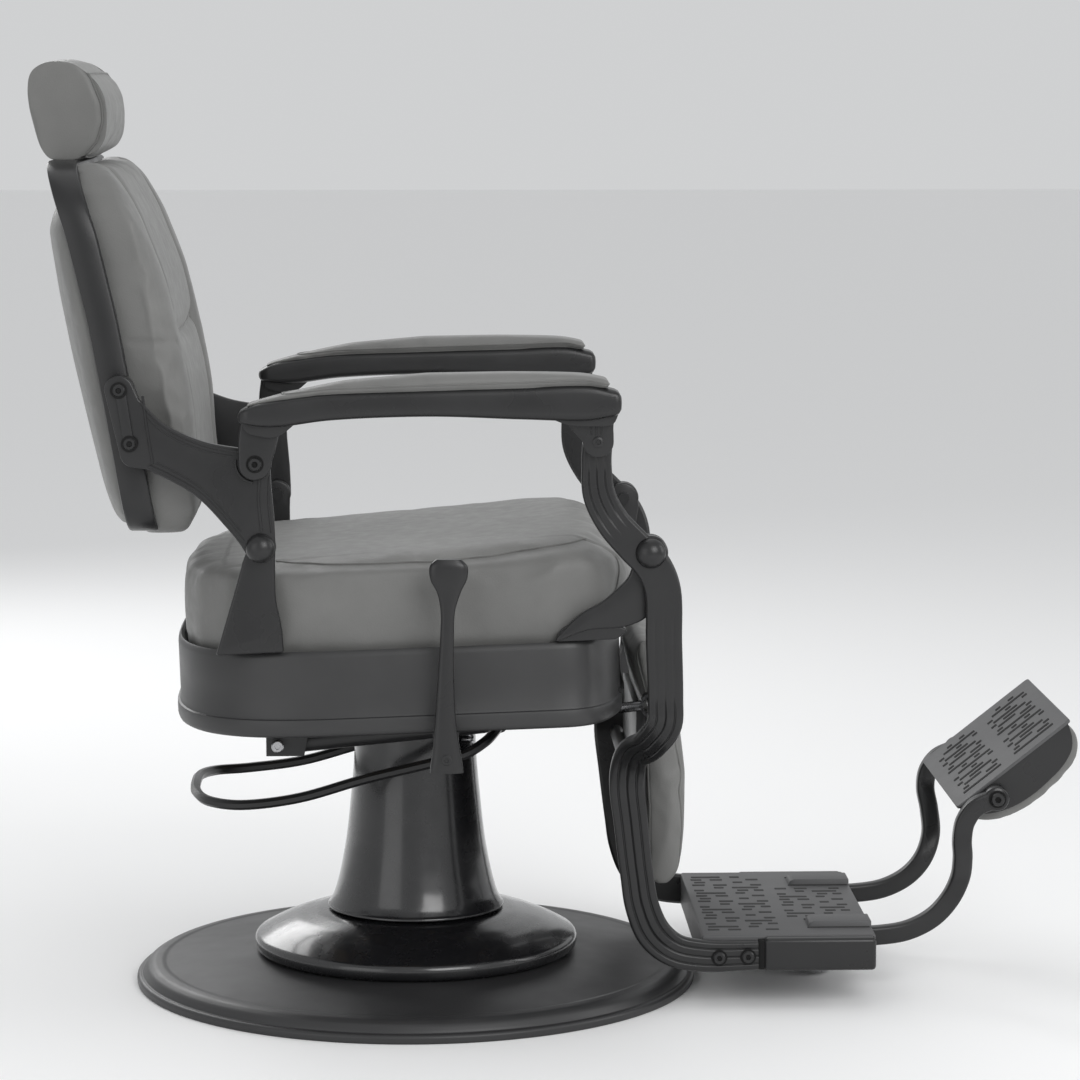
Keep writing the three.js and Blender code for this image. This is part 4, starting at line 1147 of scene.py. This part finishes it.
def leg(side, sign):
    rows = spline([(x, sign * y, z, half) for x, z, half, y in leg_stations()], 150)
    sections = [leg_section(half, sign, groove_depth(x, z)) for x, _, z, half in rows]
    bm = sweep([r[:3] for r in rows], lambda i: sections[i])
    near, far = MIDDLE[0], LEG_OUTER
    for centre, radius in ((ARM_FRONT, 16), (LEG_PIVOT, 19)):
        rim = [(radius - 1.5, near), (radius, near + 1.5), (radius, far - 2), (radius - 2, far)]
        lathe([(0, near)] + rim + [(0, far)], 40, across(centre, sign), bm)
    if sign < 0:
        drum(0, 8, STRUT_SIDE - 8, near + 4, 32, across(ROD_STUD, sign), bm)
    skin(f"leg_{side}", bm, CAST, "footrest", 40)

    bm = bmesh.new()
    for centre in LEG_SCREWS:
        socket_screw(centre, sign, LEG_SCREW, 7, 3, bm)
    strip = [(338, 54), (387, 54), (387, 69), (338, 69)]
    plate(fillet(strip, 2), sign * 158, sign * 161.6, 0.6, bm)
    skin(f"leg_screw_plate_{side}", bm, SATIN, "footrest")
    arm_screw(f"arm_front_bolt_{side}", "footrest", ARM_FRONT, sign, 6, 2)
    rings = [(centre, LEG_SCREW - 0.3, 7) for centre in LEG_SCREWS]
    painted_shade_rings(f"leg_screw_shade_rings_{side}", "footrest", sign, rings)


def strap(side, sign):
    """The curved bar from the footplate to the toe pad, and the bolt in its end."""
    stations = [
        (460, 69, 0), (540, 70, 0), (573, 76, 0), (601, 91, 0), (620, 113, 0.04), (630, 140, 0.25),
        (630, 168, 0.65), (627, 192, 0.95), (630, 212, 1), (642, 229, 1), (664, 239, 1),
    ]
    rows = spline([(x, sign * (STRAP_SIDE + 44.5 * step), z) for x, z, step in stations], 70)
    bm = sweep(rows, lambda _: oblong_section(11, 9, 5, 28))
    place = across(TOE_PIVOT, sign)
    lathe([(0, 149.5), (12.5, 149.5), (14, 151), (14, 166), (12.5, 167.5), (0, 167.5)], 36, place, bm)
    skin(f"footrest_strap_{side}", bm, CAST, "footrest", 50)
    bm = socket_screw(TOE_PIVOT, sign, TOE_SCREW, 8, 4.6)
    drum(0, 6, 141.6, 168, 20, place, bm)
    skin(f"toe_bolt_{side}", bm, SATIN, "footrest")
    painted_shade_rings(f"toe_bolt_shade_ring_{side}", "footrest", sign, [(TOE_PIVOT, TOE_SCREW, 8)])


# Strokes of one repeat of the grip pattern: shares of a panel's length, row by row across it.
GRIP_ROWS = [
    [(0.0, 0.95)], [(0.05, 0.19), (0.62, 0.9)], [(0.12, 0.55), (0.82, 0.96)], [(0.0, 0.13), (0.3, 0.86)],
    [(0.1, 0.7)], [(0.0, 0.13), (0.45, 0.59), (0.87, 1.0)], [(0.16, 0.98)], [(0.3, 0.43), (0.62, 0.76)],
]
PLATE_ROWS = [
    [(0.0, 0.16), (0.28, 0.46), (0.8, 0.98)], [(0.02, 0.44), (0.58, 0.72)],
    [(0.0, 0.14), (0.62, 0.78), (0.86, 1.0)], [(0.3, 0.44), (0.56, 0.94)],
    [(0.0, 0.18), (0.3, 0.5), (0.84, 1.0)], [(0.04, 0.2), (0.6, 0.74)],
]


def grip_strokes(place, rows, pitch, share_wide, half_width, panels, bm):
    """Short strokes in a repeating order, coloured dark as painted shade in engraved slots. place maps
    (along, sideways, height) to the chair.
    """
    count = int(2 * half_width / pitch)
    for start, end in panels:
        for j in range(count):
            v = (j - (count - 1) / 2) * pitch
            for first, last in rows[j % len(rows)]:
                u0, u1 = (start + (end - start) * share for share in (first, last))
                half = pitch * share_wide / 2
                corners = fillet([(u0, v - half), (u1, v - half), (u1, v + half), (u0, v + half)], 1.2, 2)
                loops_to_mesh(bm, [[place(a, b, h) for a, b in corners] for h in (-0.5, 0.35)])
    return bm


def footplate():
    low, high = chair_box("footplate")
    top = high.z - 7
    bm = boxed(((low.x, high.x), (-172, 172), (low.z, top)), 2.5)
    for sign in SIDES.values():
        tunnel = [(452, top - 2, 18), (455, high.z - 2, 20), (460, high.z, 21), (high.x - 0.6, high.z, 21)]
        loops = []
        for x, z, half in tunnel:
            inner, outer = sign * STRAP_SIDE - half, sign * STRAP_SIDE + half
            loops.append([(x, inner, top - 8), (x, inner + 2, z), (x, outer - 2, z), (x, outer, top - 8)])
        solid(loops, 1.2, bm)
    skin("footplate", bm, PLATE_GREY, "footrest")

    sides, gaps = bmesh.new(), bmesh.new()
    for sign in SIDES.values():
        span = sorted((sign * 160, sign * 185.5))
        boxed(((398, high.x - 0.5), span, (low.z + 0.5, top - 1.5)), 5, sides, 5)
        # Near-black slabs just behind the side blocks, beside the plate: painted shade in the gaps there.
        span = sorted((sign * 171, sign * 182))
        boxed(((391.5, 398.5), span, (low.z + 2, top - 4)), 0.3, gaps, 1)
    piece("footplate_sides", sides, CAST, "footrest")

    # Dark grey strokes on the plate: painted shade in engraved slots.
    flat = lambda u, v, h: (u, v, top + h)
    bm = grip_strokes(flat, PLATE_ROWS, 15, 0.45, 150, [(336, 420)], bmesh.new())
    grip_strokes(flat, PLATE_ROWS, 15, 0.45, 84, [(434, 512)], bm)
    # Thin dark strips where the strap tunnels meet the plate: painted shade in the corners.
    for sign in SIDES.values():
        for offset in (-21.4, 21.4):
            middle = sign * STRAP_SIDE + offset
            boxed(((452, high.x - 3), (middle - 0.8, middle + 0.8), (top - 1, top + 1)), 0.3, bm, 1)
    piece("footplate_grip_shade", bm, GRIP_SHADE_GREY, "footrest")
    piece("footplate_gap_shade", gaps, SHADE_BLACK, "footrest")

    glide = [(0, 4), (24, 4), (26.5, 5.5), (27, 8), (25, 10.5), (0, 10.5)]
    stem = [(0, 9), (23, 9), (25.5, 11), (22, 14), (12, 17), (7, 20), (6, 24), (6, 73), (0, 73)]
    corners = chair_box("foot_glide")
    middle = (corners[0].x + corners[1].x) / 2
    place = lambda a, b, h: (middle + a, b, h)
    skin("foot_glide", turned(glide, 1, 64, place), STEEL, "footrest")
    piece("foot_glide_stem", turned(stem, 1, 48, place), SATIN, "footrest")


TOE_EDGE = (623, 228)
TOE_TILT = math.radians(38.4)


def toe_place(u, v, across_face):
    """u along the toe pad's face, v sideways, then up out of the face."""
    c, s = math.cos(TOE_TILT), math.sin(TOE_TILT)
    return (TOE_EDGE[0] + u * c - across_face * s, v, TOE_EDGE[1] + u * s + across_face * c)


def toe_pad():
    half = chair_box("toe_frame")[1].y
    outline = fillet([(-2, -half), (162, -half), (162, half), (-2, half)], 7)
    face = solid([[toe_place(u, v, h) for u, v in outline] for h in (-4, 0)], 1.2)
    skin("toe_frame", face, TREAD, "toe_pad")
    belly = [
        (158, -2), (153, -18), (143, -31), (122, -40), (80, -44.5), (50, -41.5), (25, -32), (8, -18),
        (-1, -2),
    ]
    rim = fillet(belly, [1, 10, 14, 20, 30, 20, 14, 10, 1], 4)
    bm = bmesh.new()
    for sign in SIDES.values():
        solid([[toe_place(u, sign * y, h) for u, h in rim] for y in (half - 7, half - 0.4)], 1.5, bm)
    piece("toe_frame_sides", bm, CAST, "toe_pad")
    # The toe pad's grip strokes are near black: painted shade in its engraved slots.
    bm = grip_strokes(toe_place, GRIP_ROWS, 15.5, 0.5, 127, [(14, 72), (88, 148)], bmesh.new())
    piece("toe_grip_shade", bm, SHADE_BLACK, "toe_pad")
    cushion("toe_cushion_cover", "toe_cushion", "toe_pad", 1.5, 3.5, voxel=4, soften=5, fit=False)


def calf():
    obj = cushion("calf_cover", "calf_pad", "footrest", 3, 8, voxel=5)
    half = chair_box("calf_pad")[1].y
    ring = lambda p: abs(p[1]) - (half - 11)
    press(obj, ring, 1.5, 5)
    piping("calf_piping", obj, "footrest", ring, 1.6)
    refine("calf_bracket", "footrest", SATIN, 1.0)


# ---------------------------------------------------------------- under the seat
LEVER_SIDE = 297.5


def lever():
    lx, lz = LEVER_PIVOT
    stations = [
        (lx, lz - 13, 18.5, 8), (lx, lz - 6, 18, 8.2), (lx, lz + 10, 15.5, 7.6), (33, 350, 12.2, 7),
        (33.5, 400, 9.2, 6.6), (35, 450, 7.6, 6.2), (36, 480, 8.2, 6.2), (37, 500, 13.5, 6.6),
        (37, 512, 19.5, 7.2), (37, 522, 21.5, 7.4), (37, 530, 20, 7), (37, 536, 14, 5),
    ]
    rows = spline([(x, -LEVER_SIDE, z, wide, thick) for x, z, wide, thick in stations], 70)
    bm = sweep([r[:3] for r in rows], lambda i: oblong_section(rows[i][3], rows[i][4], 3.2, 28))
    drum(0, 8, 178, 292, 32, across(LEVER_PIVOT, -1), bm)
    skin("recline_lever", bm, CAST, "lever", 50)
    screw = socket_screw((lx, lz + 2), -1, LEVER_SIDE + 7.1, 6, 2.2)
    piece("lever_screw", screw, SATIN, "lever")


def pump_pedal():
    px, pz = PEDAL_PIVOT
    half = [
        (px, 29, pz), (px, 46, pz), (px - 5, 70, pz - 3), (80, 98, 297), (58, 112, 286), (20, 119, 277),
        (-57, 120, 259), (-136, 121, 237), (-202, 118, 229), (-238, 98, 230), (-255, 55, 233),
    ]
    # One side, the middle of the loop, and the other side back.
    route = [(x, -y, z) for x, y, z in half] + [(-258, 0, 235)] + half[::-1]
    skin("pump_pedal", welt(spline(route, 150), 6), SATIN, "pedal")

    low, high = chair_box("pedal_spring")
    x, y = (low.x + high.x) / 2, (low.y + high.y) / 2
    turns, steps, radius, wire = 9, 20, 6.2, 1.2
    coil = []
    for k in range(turns * steps + 1):
        angle = 2 * math.pi * k / steps
        rise = low.z + wire + (high.z - low.z - 2 * wire) * k / (turns * steps)
        coil.append((x + radius * math.cos(angle), y + radius * math.sin(angle), rise))
    spring = piece("pedal_spring_coil", welt(coil, wire), STEEL, None, ["pedal_spring"])
    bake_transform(spring)


def recline_strut():
    """The locking cylinder of the recline, its rod and the screw of its bracket."""
    px, pz = CYLINDER_PIVOT
    side = STRUT_SIDE
    left = Vector((0, 1, 0))
    run = Vector((ROD_STUD[0] - px, 0, ROD_STUD[1] - pz))
    along = run.normalized()
    up = along.cross(left)

    def place(a, b, h):
        return Vector((px, -side, pz)) + along * h + left * a + up * b

    barrel = [(0, 12), (11, 12), (13, 14), (13, 236), (12, 240), (10, 245), (7.2, 245), (7, 200), (0, 200)]
    bm = turned(barrel, 1.5, 40, place)
    drum(6.8, 12, side - 13, side + 13, 32, across(CYLINDER_PIVOT, -1), bm)
    skin("recline_cylinder", bm, SATIN, "cylinder")
    bm = drum(0, 6, 60, run.length - 14, 32, place)
    drum(12.3, 16, side - 6, side + 9, 32, across(ROD_STUD, -1), bm)
    skin("recline_rod", bm, ROD_CHROME, "cylinder_rod")
    piece("strut_screw", socket_screw(CYLINDER_PIVOT, -1, side + 24, 7, 2.5), STEEL, "seat")
    for node in ("cylinder_bracket", "pedal_bracket", "lever_bracket"):
        refine(node, "seat", SATIN, 0.8)


# ---------------------------------------------------------------- studio
# Soft boxes: place and size in metres, the height on the chair's axis that they face, and watts.
LIGHTS = {
    "key": ((-3.0, -1.4, 2.0), 0.5, (1.8, 1.8), 46),
    "side": ((-3.0, 2.4, 1.2), 0.6, (2.2, 2.4), 14),
    "top": ((0.3, 0.2, 3.2), 0.4, (2.4, 2.4), 8),
    "rim": ((2.6, 1.2, 2.2), 0.6, (1.2, 2.4), 30),
    "front": ((-0.4, -3.4, 1.7), 0.5, (1.2, 2.2), 20),
}


def linked(name, data, place, look):
    """A light or camera at a place, turned to look along a direction."""
    obj = bpy.data.objects.new(name, data)
    obj.location = place
    obj.rotation_euler = look.to_track_quat("-Z", "Y").to_euler()
    bpy.context.scene.collection.objects.link(obj)
    return obj


def studio():
    bm = bmesh.new()
    bmesh.ops.create_grid(bm, x_segments=1, y_segments=1, size=30)
    mesh = bpy.data.meshes.new("floor")
    bm.to_mesh(mesh)
    bm.free()
    material, shader = new_material("floor_white", (0.92, 0.92, 0.92), 0.9)
    vary_roughness(material, shader, noise(material, 2, 3), 0.85, 0.95)
    mesh.materials.append(material)
    floor = bpy.data.objects.new("floor", mesh)
    bpy.context.scene.collection.objects.link(floor)

    world = bpy.data.worlds.new("studio")
    world.use_nodes = True
    background = world.node_tree.nodes["Background"]
    background.inputs["Color"].default_value = (0.95, 0.96, 0.97, 1)
    background.inputs["Strength"].default_value = 0.66
    bpy.context.scene.world = world
    for name, (place, height, size, energy) in LIGHTS.items():
        data = bpy.data.lights.new(name, "AREA")
        data.shape = "RECTANGLE"
        data.size, data.size_y = size
        data.energy = energy
        linked(name, data, place, Vector((0, 0, height)) - Vector(place))

    camera = bpy.data.cameras.new("camera")
    camera.sensor_width = 36
    camera.lens = 125.9
    yaw, pitch = math.radians(1.97), math.radians(7.07)
    look = Vector((math.cos(yaw) * math.cos(pitch), -math.sin(yaw) * math.cos(pitch), -math.sin(pitch)))
    bpy.context.scene.camera = linked("camera", camera, (-4.4, 0.004, 1.066), look)
    bpy.context.scene.view_settings.view_transform = "Standard"


studio()
pedestal()
seat_shell()
seat_cushion()
back_frame()
back_cushions()
headrest()
for side, sign in SIDES.items():
    upright(side, sign)
    front_horn(side, sign)
    ball_cap(f"rear_pivot_bolt_{side}", "seat", BACK_PIVOT, sign, MIDDLE[1], 16)
    ball_cap(f"front_pivot_bolt_{side}", "seat", LEG_PIVOT, sign, LEG_OUTER, 16.5)
    back_bracket(side, sign)
    armrest(side, sign)
    leg(side, sign)
    strap(side, sign)
footplate()
toe_pad()
calf()
lever()
pump_pedal()
recline_strut()
